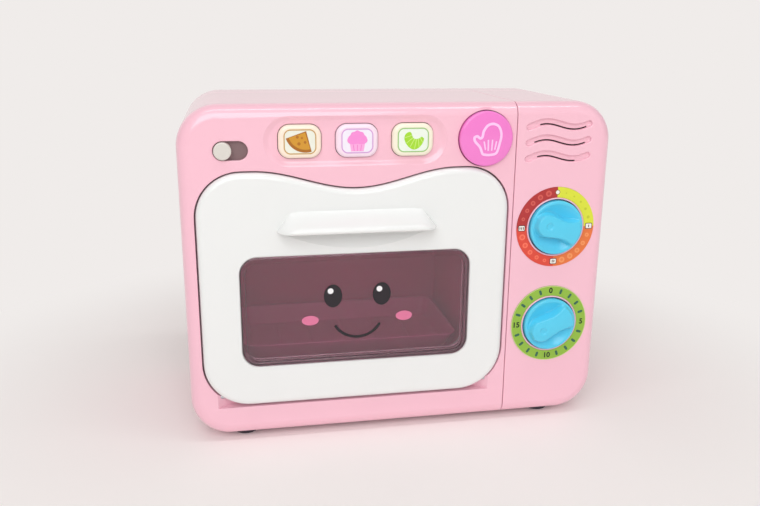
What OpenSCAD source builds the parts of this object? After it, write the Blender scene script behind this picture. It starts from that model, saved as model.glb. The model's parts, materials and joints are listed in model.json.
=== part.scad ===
/* [Housing] */
// Width of the housing over both sides
housing_w = 280; // [268:1:320]
// Height of the housing without its feet
housing_h = 218; // [212:1:250]
// Depth of the housing from its front face to its back
housing_d = 132; // [126:1:160]
// Radius of the housing's corners, seen from the front
corner_r = 26; // [20:1:30]
// Radius of the soft edge round the front and the back
edge_r = 9; // [5:0.5:10]
// Wall thickness of the housing shells
wall = 2.4; // [2:0.1:2.8]
// Width of the control column right of the seam
column_w = 66.7; // [64:0.1:76]
// Open joint between two neighbouring shells
seam_gap = 0.4; // [0.2:0.1:0.8]
// Depth of the rear cover
rear_d = 34; // [30:1:40]

/* [Feet] */
// Height of a foot below the housing
foot_h = 4; // [2:0.5:8]
// Radius of a foot
foot_r = 8; // [5:0.5:10]
// Distance of a foot's centre from the housing's side
foot_side = 35; // [34:1:50]
// Distance of a foot's centre from the front face and from the back
foot_end = 18; // [14:1:20]
// Radius of the plug that holds a foot in the housing floor
foot_plug_r = 2.5; // [1.5:0.1:4]

/* [Door] */
// Distance from the door's right side to the seam
door_side = 3.8; // [3:0.1:8]
// Distance of the door's two crests below the housing's top
door_drop = 41; // [40:0.5:46]
// Thickness of the door
door_t = 14; // [13:0.5:16]
// How far the door stands in front of the housing
door_proud = 2.5; // [1:0.5:3]
// Distance from the housing's left side to the door
door_margin = 9.5; // [9.5:0.5:14]
// Height of the door's bottom edge above the housing's bottom
door_rise = 22.5; // [20:0.5:26]
// How far the door's top edge dips in the middle
door_dip = 11.6; // [6:0.2:14]
// Distance from the door's side to the nearer crest
crest_side = 35; // [32:1:45]
// Radius of the door's top corners
door_top_r = 28; // [22:1:30]
// Radius of the door's bottom corners
door_bottom_r = 30; // [28:1:34]
// Radius of the soft edge round the door's front
door_edge_r = 4; // [2:0.5:5]
// Open gap round the door
door_gap = 0.8; // [0.6:0.1:1.2]
// Thickness of the door's walls
door_wall = 2.4; // [2:0.1:3]
// Thickness of the inner door panel
inner_t = 2; // [1.5:0.1:2.5]

/* [Window] */
// Distance from the door's side to the window
window_side = 25.25; // [24:0.25:40]
// Distance of the window's top edge below the handle's lip
window_drop = 17; // [15.5:0.5:30]
// Height of the window's bottom edge above the door's
window_rise = 27.6; // [24:0.2:32]
// Radius of the window's corners
window_r = 11; // [8:0.5:16]
// Thickness of the window sheet
window_t = 2; // [1.5:0.1:2.5]
// Width of the raised border of the window
window_lip_w = 3; // [2:0.1:5]
// Height of the raised border over the window sheet
window_lip_h = 1; // [0.5:0.1:1.5]
// How far the window's flange reaches behind the door skin
window_flange = 4; // [3:0.5:6]
// Open gap between window and door skin
window_gap = 0.4; // [0.2:0.1:0.6]

/* [Handle] */
// Distance from the door's side to the end of the handle's front lip
handle_side = 49; // [46:1:60]
// How far the handle's top ridge stops short of the lip at each end
ridge_side = 10; // [7:0.5:20]
// Length over which the lip grows to its full depth at each end
lip_taper = 10; // [6:0.5:14]
// How far the lip stands in front of the door
handle_out = 15.5; // [10:0.5:20]
// Distance of the lip's lower edge below the door's crests
handle_drop = 36.5; // [34.5:0.5:38.5]
// Height of the handle from its lower edge to its ridge
handle_h = 13; // [11:0.5:14]
// Radius of the handle's rounded edges
handle_r = 2.5; // [2:0.1:3]
// How far the finger scoop reaches below the lip
scoop_drop = 14; // [10:0.5:15]
// Radius of the ball that the finger scoop is cut with
scoop_ball_r = 200; // [180:5:260]

/* [Hinge] */
// Distance of the hinge axis behind the housing's front face
hinge_in = 3.2; // [3.2:0.1:4]
// Radius of a hinge pin
pin_r = 1.5; // [1.2:0.1:1.6]
// Length of a hinge pin
pin_len = 21; // [18:0.5:22]
// Running clearance between a pin and its lug
pin_clear = 0.05; // [0.02:0.01:0.1]
// Distance from the door's side to the end of the hinge well
well_inset = 7; // [6.5:0.5:8]
// Free height under the door's bottom edge in the well
well_gap = 1.6; // [1.4:0.1:2.4]

/* [Cavity] */
// How far the cavity reaches past the window on each side
cavity_side = 4.25; // [2:0.25:7]
// How much higher the cavity is than the window
cavity_over = 26.6; // [20:0.2:30]
// Free depth between the liner's back and the battery box
cavity_back = 5.8; // [3.8:0.1:12.8]
// Wall thickness of the liner
liner_t = 2; // [1.5:0.1:2.4]
// Height of the cavity floor above the housing's bottom
cavity_rise = 39.5; // [38:0.5:42]
// Radius of the cavity's corners
cavity_r = 9; // [5:0.5:12]
// Width of the flange at the liner's mouth
flange_w = 4; // [3:0.5:5]
// Height of a slide rail on the cavity floor
rail_h = 1.7; // [1:0.1:2.5]

/* [Tray] */
// Free width between the tray's rim and the cavity's side
tray_side = 5; // [4.5:0.5:14]
// Depth of the tray over its rim
tray_d = 84; // [70:1:86]
// Height of the tray
tray_h = 16; // [12:0.5:20]
// Wall thickness of the tray
tray_t = 2; // [1.5:0.1:2.5]
// How far the tray's walls lean out from bottom to rim
tray_lean = 4; // [2:0.5:6]
// How far the tray's front wall leans out
tray_front_lean = 16; // [16:0.5:20]
// Gap between the closed door and the tray's rim
tray_back = 4; // [4:0.5:6]
// Clearance between the tray and its rails
tray_clear = 0.3; // [0.2:0.1:0.5]
// Number of ribs on the tray floor
tray_ribs = 5; // [3:1:7]

/* [Buttons] */
// Space between two food buttons
button_space = 8.9; // [7.5:0.1:11]
// Height of a food button
button_h = 20.5; // [18:0.5:22]
// Corner radius of a food button
button_r = 7; // [4:0.5:8]
// Distance from the outer food button to the recess's end
recess_end = 7; // [5.5:0.5:8]
// Distance of the button row's middle below the housing's top
button_drop = 22.5; // [21:0.5:24]
// How far a food button stands in front of its recess
button_out = 3; // [2.6:0.1:4]
// Travel of a food button
button_travel = 2; // [1:0.1:2.2]
// Clearance between the recess and the switch's sliding plate
recess_clear = 0.4; // [0.3:0.1:2]
// Height of the recess behind the food buttons
recess_h = 27.3; // [26:0.1:28]
// Depth of the recess
recess_d = 1.5; // [1:0.1:2]
// Radius of the round mitt button
mitt_r = 17.5; // [15:0.25:18.5]
// Distance of the mitt button's middle from the seam
mitt_side = 21; // [20:0.5:23]
// How far the mitt button stands in front of the housing
mitt_out = 4; // [3.2:0.1:5]
// Travel of the mitt button
mitt_travel = 3; // [1.5:0.1:3]
// Clearance round every button
button_clear = 0.4; // [0.3:0.05:0.6]

/* [Power switch] */
// Length of the switch slot
slot_w = 21; // [18:0.5:24]
// Height of the switch slot
slot_h = 11.6; // [10:0.2:13]
// Distance of the slot's middle from the housing's left side
slot_side = 32.2; // [31:0.1:34]
// Distance of the slot's middle below the housing's top
slot_drop = 27.5; // [26:0.5:28]
// Radius of the switch's round nub
nub_r = 5.4; // [4:0.1:5.5]
// How far the nub stands in front of the housing
nub_out = 2; // [1:0.1:3]
// Travel of the switch
slide_travel = 9.4; // [6:0.1:9.6]

/* [Dials] */
// Distance of the dials' middle from the housing's right side
dial_side = 36.4; // [36:0.1:39]
// Height of the timer dial's middle, as a share of the housing's height
timer_share = 0.30734; // [0.3:0.00001:0.34]
// Distance between the two dials, as a share of the housing's height
dial_share = 0.31422; // [0.29:0.00001:0.34]
// Outer radius of a printed dial ring
ring_r = 27.2; // [25:0.1:28]
// Width of a printed dial ring
ring_w = 7; // [4:0.1:7.5]
// Thickness of a dial ring
ring_t = 0.8; // [0.6:0.1:1.2]
// How deep a dial ring sits in the housing
ring_sunk = 0.5; // [0.3:0.1:1]
// Radius of a knob
knob_r = 18.3; // [16:0.1:18.6]
// How far a knob's rim stands in front of the housing
knob_out = 3.2; // [2:0.1:5]
// Height of the grip bar over the rim
bar_h = 5; // [3:0.5:8]
// Depth of the dish in a knob's face
dish_d = 3.2; // [1:0.1:3.6]
// Depth of the round well that a knob turns in
knob_well = 5; // [4:0.5:7]
// Open gap round and behind a knob
knob_gap = 0.6; // [0.4:0.1:1]
// Angle of the temperature knob's pointer, anticlockwise from the right
temperature_angle = 163; // [0:1:359]
// Angle of the timer knob's pointer, anticlockwise from the right
timer_angle = 206; // [0:1:359]
// Radius of a dial shaft
shaft_r = 3; // [2:0.1:3.2]
// Running clearance between a shaft and its bush
shaft_clear = 0.05; // [0.02:0.01:0.1]

/* [Vents] */
// Width of the field of wavy vents
vent_w = 42.5; // [36:0.5:46]
// Distance between two vents
vent_pitch = 10.3; // [9:0.1:11]
// Width of a vent groove
vent_h = 4.4; // [3:0.1:5]
// Height of the waves
vent_amp = 2.4; // [1:0.2:3.6]
// Width of the slit in a groove
slit_h = 1; // [0.8:0.1:1.4]
// Distance of the slit from the groove's lower edge
slit_low = 0.4; // [0.2:0.1:1]
// Depth of a vent groove
vent_depth = 1.4; // [0.8:0.1:1.6]
// Distance of the lowest vent below the housing's top
vent_drop = 37.5; // [35:0.5:38.5]

/* [Electronics] */
// Thickness of the circuit boards
board_t = 1.6; // [1:0.1:2]
// Distance of the button board behind the front face
button_board_in = 14; // [13:0.5:16]
// Height of the button board
button_board_h = 24; // [20:0.5:26]
// Distance of the main board behind the front face
main_board_in = 20; // [18:0.5:24]
// Width of the main board
main_board_w = 52; // [46:1:56]
// Height of the main board, as a share of the housing's height
main_board_share = 0.5413; // [0.5:0.0001:0.55]
// Radius of the speaker
speaker_r = 17; // [14:0.5:18]
// Depth of the speaker
speaker_d = 13; // [10:0.5:15]
// Diameter of a battery
cell_d = 14.2; // [13.5:0.1:14.5]
// Length of a battery without its nub
cell_len = 49; // [47:0.5:51]
// Number of batteries
cells = 3; // [2:1:4]
// Wall thickness of the battery box
box_t = 1.4; // [1:0.1:2]
// Height of the battery box's middle above the housing's bottom
box_rise = 92; // [80:1:110]
// Radius of a wire
wire_r = 0.8; // [0.5:0.1:1.2]
// Height of a wire's arch over the main board
wire_arch = 5; // [4:0.5:8]
// Distance of the battery wires' joint from the dials' middle
wire_side = 14; // [12:0.5:18]

/* [Fasteners] */
// Radius of a screw's shank
screw_r = 1.45; // [1.2:0.05:1.8]
// Radius of a screw's head
head_r = 2.9; // [2.4:0.1:3.2]
// Height of a screw's head
head_h = 2; // [1.5:0.1:2.5]
// Radius of a screw boss
boss_r = 4; // [3.6:0.1:4.4]

/* [Hidden] */
$fn = 64;
eps = 0.01;

pink = [0.96, 0.75, 0.80];
magenta = [0.92, 0.31, 0.59];
white = [0.93, 0.94, 0.93];
sky = [0.35, 0.80, 0.92];
grey = [0.55, 0.55, 0.58];
steel = [0.75, 0.76, 0.78];
board_green = [0.15, 0.45, 0.25];

// Depth axis: the handle's lip and the housing's back lie at equal distances from the origin
front_reach = door_proud + handle_out;
front_y = -(housing_d - front_reach) / 2;
back_y = front_y + housing_d;
split_y = back_y - rear_d;
base_z = foot_h;
top_z = base_z + housing_h;
mid_z = base_z + housing_h / 2;
seam_x = housing_w / 2 - column_w;

// Door
door_w = housing_w - column_w - door_margin - door_side;
door_h = housing_h - door_rise - door_drop;
crest_x = door_w / 2 - crest_side;
door_x = -housing_w / 2 + door_margin + door_w / 2;
door_z = base_z + door_rise;
pocket_d = door_t - door_proud + door_gap;
door_back = door_t - door_proud;
// The door's lower edge turns about the pin, level with the housing face at 90 degrees
hinge_up = door_proud + hinge_in;
hinge_z = door_z + hinge_up;
hinge_y = front_y + hinge_in;
barrel_r = door_back - hinge_in;
well_h = hinge_up + hinge_in + door_gap;
well_end = door_w / 2 - well_inset;
// Middle of a hinge pin, and length of the block that holds it in the door
pin_x = well_end + well_inset - pin_len / 2 - 0.5;
hinge_block = pin_len - 5;
handle_rise = door_h - handle_drop;
handle_w = door_w - 2 * handle_side;
ridge_w = handle_w - 2 * ridge_side;
window_w = door_w - 2 * window_side;
window_h = handle_rise - window_rise - window_drop;
window_z = door_z + window_rise + window_h / 2;
handle_z = door_z + handle_rise;

// Cavity and tray
cavity_w = window_w + 2 * cavity_side;
cavity_h = window_h + cavity_over;
tray_w = cavity_w - 2 * tray_side;
cavity_z = base_z + cavity_rise;
liner_y = front_y + pocket_d + wall;
tray_z = cavity_z + rail_h + tray_clear;
tray_y = front_y + door_back + tray_back;

// Controls
button_z = top_z - button_drop;
mitt_x = seam_x - mitt_side;
slot_x = -housing_w / 2 + slot_side;
slot_z = top_z - slot_drop;
// The button row fills the room right of the switch's plate when it is on
slide_w = slot_w + slide_travel + 0.6;
slide_end = slot_x + slide_travel / 2 + slide_w / 2;
recess_w = 2 * (door_x - slide_end - wall / 2 - recess_clear);
button_w = (recess_w / 2 - recess_end - button_space) / 1.5;
button_pitch = button_w + button_space;
dial_x = housing_w / 2 - dial_side;
timer_z = base_z + timer_share * housing_h;
temperature_z = timer_z + dial_share * housing_h;
vent_z = top_z - vent_drop;
vent_x = dial_x - vent_w / 2 - 1.6;
speaker_z = vent_z + vent_pitch + 1;
speaker_y = front_y + wall + 1;
pad_t = 2;
stem_r = 4;
flange_t = 1.5;
flange_out = 1.6;
mitt_seat = 6;
board_y = front_y + button_board_in;
post_r = 3;
// The button board hangs on two posts: left of the buttons, and between buttons and mitt
board_posts = [
    door_x - button_pitch - button_w / 2 - flange_out - post_r - 0.6,
    (door_x + button_pitch + button_w / 2 + mitt_x - mitt_r) / 2];
board_left = board_posts[0] - post_r - 1;
board_right = mitt_x + mitt_r;
board_x = (board_left + board_right) / 2;
board_w = board_right - board_left;
stem_x = concat([for (i = [-1:1]) door_x + i * button_pitch], [mitt_x]);
main_y = front_y + main_board_in;
main_board_h = main_board_share * housing_h;
main_z = (timer_z + temperature_z) / 2;
bush_r = shaft_r + 1.6;
bush_len = 4;
// Sizes of the grip bar on a knob
grip_head_x = knob_r * 0.36;
grip_head_r = knob_r * 0.415;
grip_far = knob_r * 0.48;
grip_waist = knob_r * 0.34;
encoder_w = 14;
encoder_d = 6;

// Battery box, flush with the inside of the rear cover
box_w = cell_len + 8 + 2 * box_t;
box_h = cells * (cell_d + 1) + 1 + 2 * box_t;
box_d = cell_d + 1.5 + box_t;
box_z = base_z + box_rise;
box_y = back_y - wall - box_d;
cavity_d = box_y - liner_y - cavity_back;
bay_tab = 10;
bay_screw_z = box_z + box_h / 2 + bay_tab / 2 - box_t;

// Screws join the rear cover to the bosses on the front shells
boss_edge = edge_r + 3.5;
screw_seat = 6;
screw_len = 18;
lug_h = 8;
clip_w = 14;
tongue_w = 10;
tongue_h = 2.4;
tongue_len = 7;
tongue_z = door_z + door_h - door_dip - 9;
lamp_y = liner_y + cavity_d / 2;
lamp_r = 9;
main_post_x = [-main_board_w / 2 + 4, main_board_w / 2 - 4];
main_post_z = [-main_board_h / 2 + 4, main_board_h / 2 - 4];

// Places of the screw bosses, as [x, z]
main_bosses = [
    [-housing_w / 2 + corner_r - 2, top_z - boss_edge - 2],
    [-housing_w / 2 + corner_r - 8, base_z + boss_edge],
    [seam_x - 12, base_z + boss_edge]];
column_bosses = [
    [housing_w / 2 - corner_r + 8, base_z + boss_edge],
    [seam_x + 12, base_z + boss_edge],
    [housing_w / 2 - boss_edge - 2, top_z - corner_r + 2]];

// A flat shape drawn in X and Z becomes a plate from y to y + t
module plate(y, t) {
    translate([0, front_y + y + t, 0])
        rotate([90, 0, 0])
            linear_extrude(t)
                children();
}

// A cylinder or a turned shape with its axis along +Y, starting at y behind the front face
module along_y(x, y, z) {
    translate([x, front_y + y, z])
        rotate([-90, 0, 0])
            children();
}

module rounded_rect(w, h, r) {
    square([w - 2 * r, h], center = true);
    square([w, h - 2 * r], center = true);
    for (sx = [-1, 1], sy = [-1, 1])
        translate([sx * (w / 2 - r), sy * (h / 2 - r)])
            circle(r);
}

// Box with rounded corners and a soft front edge, from y = 0 to y = depth
module soft_block(w, h, r, e, depth) {
    hull()
        for (sx = [-1, 1], sz = [-1, 1])
            translate([sx * (w / 2 - r), 0, sz * (h / 2 - r)])
                rotate([-90, 0, 0])
                    translate([0, 0, e]) {
                        rotate_extrude($fn = 32)
                            translate([r - e, 0])
                                circle(e, $fn = 32);
                        cylinder(r = r, h = depth - e, $fn = 32);
                    }
}

module housing_block(inset, depth) {
    soft_block(housing_w - 2 * inset, housing_h - 2 * inset, corner_r - inset, edge_r - inset, depth);
}

// Half of the room left or right of the seam
module side_room(left) {
    w = housing_w;
    edge = left ? seam_x - seam_gap / 2 - w : seam_x + seam_gap / 2;
    translate([edge, front_y - 1, 0])
        cube([w, housing_d + 2, top_z + 1]);
}

module front_shell(left) {
    intersection() {
        translate([0, front_y, mid_z])
            difference() {
                housing_block(0, split_y - front_y);
                translate([0, wall, 0])
                    housing_block(wall, split_y - front_y);
            }
        side_room(left);
    }
}

module boss(x, z, y0, y1, r) {
    along_y(x, y0, z)
        cylinder(r = r, h = y1 - y0);
}

function crest(x) = door_h - door_dip / 2 * (1 + cos(180 * x / crest_x));
function crest_slope(x) = door_dip / 2 * PI / crest_x * sin(180 * x / crest_x);
// Point of the wavy top edge, moved out by d square to the edge
function crest_point(x, d) =
    let (m = crest_slope(x), n = sqrt(1 + m * m))
    [x - d * m / n, crest(x) + d / n];

// Outline of the door, grown by d, from the middle of its bottom edge
module door_outline(d) {
    steps = 24;
    side = door_w / 2;
    low = door_bottom_r;
    high = door_h - door_top_r;
    polygon(concat(
        [for (i = [0:steps]) crest_point(crest_x * (2 * i / steps - 1), d)],
        [[crest_x, high], [-crest_x, high]]));
    translate([-side - d, low])
        square([door_w + 2 * d, high - low]);
    translate([-side + low, -d])
        square([door_w - 2 * low, low + d + eps]);
    for (s = [-1, 1]) {
        translate([s * (side - low), low])
            circle(low + d);
        translate([s * (side - door_top_r), high])
            circle(door_top_r + d);
        translate([s < 0 ? -side + door_top_r : crest_x - eps, high - eps])
            square([side - door_top_r - crest_x + eps, door_top_r + d + eps]);
    }
}

module door_place() {
    translate([door_x, door_z])
        children();
}

// Pocket for the door, with the straight well that its turning lower edge needs
module pocket_outline(d) {
    door_place() {
        door_outline(door_gap + d);
        translate([-well_end - d, -well_gap - d])
            square([2 * (well_end + d), well_h + well_gap + d]);
    }
}

module cavity_outline(d) {
    translate([door_x, cavity_z + cavity_h / 2])
        rounded_rect(cavity_w + 2 * d, cavity_h + 2 * d, cavity_r + d);
}

module button_outline(i, d) {
    translate([door_x + i * button_pitch, button_z])
        rounded_rect(button_w + 2 * d, button_h + 2 * d, button_r + d);
}

module recess_outline(d) {
    translate([door_x, button_z])
        rounded_rect(recess_w + 2 * d, recess_h + 2 * d, recess_h / 2 + d - eps);
}

module slot_outline(d) {
    translate([slot_x, slot_z])
        rounded_rect(slot_w + 2 * d, slot_h + 2 * d, slot_h / 2 + d - eps);
}

// Middle line of a vent at the share t of its width, and its slope
function vent_mid(t) = vent_amp * (t + sin(360 * t - 11)) + vent_amp / 2;
function vent_slope(t) = vent_amp * (1 + 2 * PI * cos(360 * t - 11)) / vent_w;
// Point beside the middle line, moved out by d square to it
function vent_point(t, d) =
    let (m = vent_slope(t), n = sqrt(1 + m * m))
    [vent_w * t - d * m / n, vent_mid(t) + d / n];

// Wavy band from share t0 to share t1 of a vent, between two distances from its middle line
module wave_band(t0, t1, low, high) {
    steps = 20;
    function t(i) = t0 + (t1 - t0) * i / steps;
    polygon(concat(
        [for (i = [0:steps]) vent_point(t(i), high)],
        [for (i = [steps:-1:0]) vent_point(t(i), low)]));
    for (end = [t0, t1])
        translate(vent_point(end, (low + high) / 2))
            circle((high - low) / 2 - eps);
}

// Lug that carries a hinge pin beside the well
module hinge_lug(s) {
    x = door_x + s * well_end;
    translate([s > 0 ? x : x - well_inset + 0.5, front_y + wall / 2, hinge_z - lug_h / 2])
        cube([well_inset - 0.5, hinge_in + 4 - wall / 2, lug_h]);
}

module hinge_bores(r) {
    for (s = [-1, 1])
        translate([door_x + s * pin_x, hinge_y, hinge_z])
            rotate([0, 90, 0])
                cylinder(r = r, h = pin_len + 3, center = true);
}

module foot_places(front) {
    for (s = [-1, 1])
        translate([s * (housing_w / 2 - foot_side), front ? front_y + foot_end : back_y - foot_end, base_z])
            children();
}

module main_housing() {
    color(pink)
    difference() {
        union() {
            front_shell(true);
            plate(wall / 2, pocket_d + wall / 2)
                pocket_outline(wall);
            for (s = [-1, 1])
                hinge_lug(s);
            plate(wall / 2, recess_d + wall / 2)
                recess_outline(wall / 2);
            along_y(mitt_x, wall / 2, button_z)
                cylinder(r = mitt_r + button_clear + 1.6, h = mitt_seat - wall / 2 - 0.3);
            for (p = main_bosses)
                boss(p[0], p[1], wall / 2, split_y - front_y + screw_seat, boss_r);
            for (x = board_posts)
                boss(x, button_z, wall / 2, button_board_in, post_r);
            // Ribs that carry the cavity liner from below
            for (s = [-1, 1])
                translate([door_x + s * cavity_w / 4 - wall / 2, liner_y + liner_t + 0.2, base_z + wall / 2])
                    cube([wall, cavity_d / 2, cavity_rise - liner_t - wall / 2]);
        }
        plate(-1, pocket_d + 1)
            pocket_outline(0);
        plate(0, pocket_d + wall + 1)
            cavity_outline(0);
        hinge_bores(pin_r + pin_clear);
        // Slot for the door's latch tongue
        plate(0, pocket_d + wall + 1)
            translate([door_x, tongue_z + 0.5])
                square([clip_w, tongue_h + 4], center = true);
        plate(-1, recess_d + 1)
            recess_outline(0);
        for (i = [-1:1])
            plate(0, recess_d + wall + 1)
                button_outline(i, button_clear);
        along_y(mitt_x, -1, button_z)
            cylinder(r = mitt_r + button_clear, h = mitt_seat + flange_t + mitt_travel + 1.5);
        plate(-1, wall + 2)
            slot_outline(0);
        for (p = main_bosses)
            boss(p[0], p[1], split_y - front_y - 14, split_y - front_y + screw_seat + 1, screw_r);
        for (x = board_posts)
            boss(x, button_z, button_board_in - 6, button_board_in + 1, screw_r);
        foot_places(true)
            translate([0, 0, -1])
                cylinder(r = foot_plug_r, h = wall + 2);
    }
}

module control_housing() {
    color(pink)
    difference() {
        union() {
            front_shell(false);
            for (z = [timer_z, temperature_z]) {
                along_y(dial_x, wall / 2, z)
                    cylinder(r = knob_r + knob_gap + 1.6, h = knob_well + wall / 2);
                along_y(dial_x, wall / 2, z)
                    cylinder(r = ring_r + 1.2, h = wall / 2 + ring_sunk);
            }
            for (p = column_bosses)
                boss(p[0], p[1], wall / 2, split_y - front_y + screw_seat, boss_r);
            for (x = main_post_x, z = main_post_z)
                boss(dial_x + x, main_z + z, wall / 2, main_board_in, post_r);
            // Collar that holds the speaker behind the vents
            along_y(dial_x, wall / 2, speaker_z)
                difference() {
                    cylinder(r = speaker_r + 1.6, h = speaker_y - front_y + 5);
                    translate([0, 0, -1])
                        cylinder(r = speaker_r, h = speaker_y - front_y + 7);
                }
        }
        for (z = [timer_z, temperature_z]) {
            along_y(dial_x, -1, z)
                cylinder(r = knob_r + knob_gap, h = knob_well + 1);
            along_y(dial_x, 0, z)
                cylinder(r = shaft_r + 0.8, h = knob_well + wall + 1);
            along_y(dial_x, -1, z)
                difference() {
                    cylinder(r = ring_r + 0.1, h = ring_sunk + 1);
                    translate([0, 0, -1])
                        cylinder(r = ring_r - ring_w - 0.1, h = ring_sunk + 3);
                }
        }
        for (i = [0:2]) {
            plate(-1, vent_depth + 1)
                translate([vent_x, vent_z + i * vent_pitch])
                    wave_band(0, 1, -vent_h / 2, vent_h / 2);
            plate(-1, wall + 2)
                translate([vent_x, vent_z + i * vent_pitch])
                    wave_band(0.08, 0.92, slit_low - vent_h / 2, slit_low - vent_h / 2 + slit_h);
        }
        for (p = column_bosses)
            boss(p[0], p[1], split_y - front_y - 14, split_y - front_y + screw_seat + 1, screw_r);
        for (x = main_post_x, z = main_post_z)
            boss(dial_x + x, main_z + z, main_board_in - 6, main_board_in + 1, screw_r);
        foot_places(true)
            translate([0, 0, -1])
                cylinder(r = foot_plug_r, h = wall + 2);
    }
}

// Opening in the back for the cells, with a strip above them for the cover's screw
module bay_outline(d) {
    translate([door_x, box_z + bay_tab / 2])
        rounded_rect(box_w - 2 * box_t + 2 * d, box_h - 2 * box_t + bay_tab + 2 * d, 3 + d);
}

module rear_cover() {
    tube_in = screw_seat + wall;
    color(pink)
    difference() {
        union() {
            difference() {
                translate([0, back_y, mid_z])
                    mirror([0, 1, 0])
                        difference() {
                            housing_block(0, rear_d);
                            translate([0, wall, 0])
                                housing_block(wall, rear_d);
                        }
                plate(housing_d - wall - 1, wall + 2)
                    bay_outline(0);
            }
            for (p = concat(main_bosses, column_bosses))
                boss(p[0], p[1], split_y - front_y + screw_seat, housing_d - wall / 2, boss_r + 0.6);
        }
        for (p = concat(main_bosses, column_bosses)) {
            boss(p[0], p[1], split_y - front_y, housing_d + 1, screw_r + 0.3);
            boss(p[0], p[1], split_y - front_y + tube_in, housing_d + 1, head_r + 0.3);
        }
        foot_places(false)
            translate([0, 0, -1])
                cylinder(r = foot_plug_r, h = wall + 2);
    }
}

module feet() {
    color([0.25, 0.23, 0.28])
    for (front = [true, false])
        foot_places(front)
            rotate([180, 0, 0])
                rotate_extrude()
                    polygon([[0, -wall], [foot_plug_r, -wall], [foot_plug_r, 0], [foot_r, 0],
                        [foot_r, foot_h - 0.8], [foot_r - 0.8, foot_h], [0, foot_h]]);
}

// Pan-head screw with its seat at the origin and its shank along -Z
module screw(len, cross) {
    difference() {
        union() {
            cylinder(r = head_r, h = head_h);
            translate([0, 0, -len])
                cylinder(r = screw_r, h = len + eps);
        }
        for (a = [0, 90])
            rotate(a)
                translate([-head_r * 0.6, -0.35, head_h - 0.9])
                    cube([head_r * 1.2, 0.7, cross]);
    }
}

module housing_screws() {
    color(steel)
    for (p = concat(main_bosses, column_bosses))
        translate([p[0], split_y + screw_seat + wall, p[1]])
            rotate([-90, 0, 0])
                screw(screw_len, 2);
}

module cavity_liner() {
    color(magenta)
    translate([0, liner_y - front_y, 0])
    difference() {
        union() {
            plate(0, cavity_d)
                cavity_outline(liner_t);
            plate(0, liner_t)
                cavity_outline(flange_w);
        }
        difference() {
            plate(-1, cavity_d - liner_t + 1)
                cavity_outline(0);
            for (s = [-1, 1])
                translate([door_x + s * tray_w / 4 - 2, front_y - 1, cavity_z - eps])
                    cube([4, cavity_d - liner_t, rail_h + eps]);
        }
        // Round hole for the lamp's lens
        translate([door_x, front_y + cavity_d / 2, cavity_z + cavity_h - 1])
            cylinder(r = lamp_r - 2, h = liner_t + 2);
    }
}

// Solid of the tray's outer or inner form, from its bottom to its rim
module tray_form(inset, lift) {
    w = tray_w - 2 * inset;
    d = tray_d - 2 * inset;
    r = 8 - inset;
    hull() {
        translate([0, tray_d / 2, tray_h])
            linear_extrude(eps)
                rounded_rect(w, d, r, $fn = 32);
        translate([0, (tray_d + tray_front_lean - tray_lean) / 2, lift])
            linear_extrude(eps)
                rounded_rect(w - 2 * tray_lean, d - tray_front_lean - tray_lean, r, $fn = 32);
    }
}

module tray() {
    color([0.93, 0.50, 0.72])
    translate([door_x, tray_y, tray_z])
    difference() {
        tray_form(0, 0);
        difference() {
            translate([0, 0, eps * 2])
                tray_form(tray_t, tray_t);
            for (i = [0:tray_ribs - 1])
                translate([tray_w * ((i + 0.5) / tray_ribs - 0.5) * 0.8 - 1.2, 0, 0])
                    cube([2.4, tray_d, tray_t + 1]);
        }
    }
}

// Ball cut that leaves the finger scoop under the handle
module scoop(d) {
    half = handle_w / 2;
    face_r = (half * half + scoop_drop * scoop_drop) / (2 * scoop_drop);
    off = sqrt(scoop_ball_r * scoop_ball_r - face_r * face_r);
    intersection() {
        translate([door_x, front_y - door_proud - off, handle_z - scoop_drop + face_r])
            sphere(r = scoop_ball_r + d);
        translate([door_x - half, front_y - door_proud - 1, handle_z - scoop_drop - d])
            cube([2 * half, door_t, scoop_drop + d]);
    }
}

module handle_form() {
    face = -door_proud + handle_r / 2;
    module bar(len, y, z, r)
        for (s = [-1, 1])
            translate([door_x + s * (len / 2 - r), front_y + y, z])
                sphere(r = r, $fn = 32);
    hull() {
        bar(handle_w - 2 * lip_taper, -door_proud - handle_out + handle_r, handle_z + handle_r, handle_r);
        bar(handle_w - lip_taper / 2, -door_proud - handle_out / 2, handle_z + handle_r, handle_r);
        bar(ridge_w, -door_proud, handle_z + handle_h - handle_r, handle_r);
        bar(handle_w, face, handle_z + handle_r, handle_r);
    }
}

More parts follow.
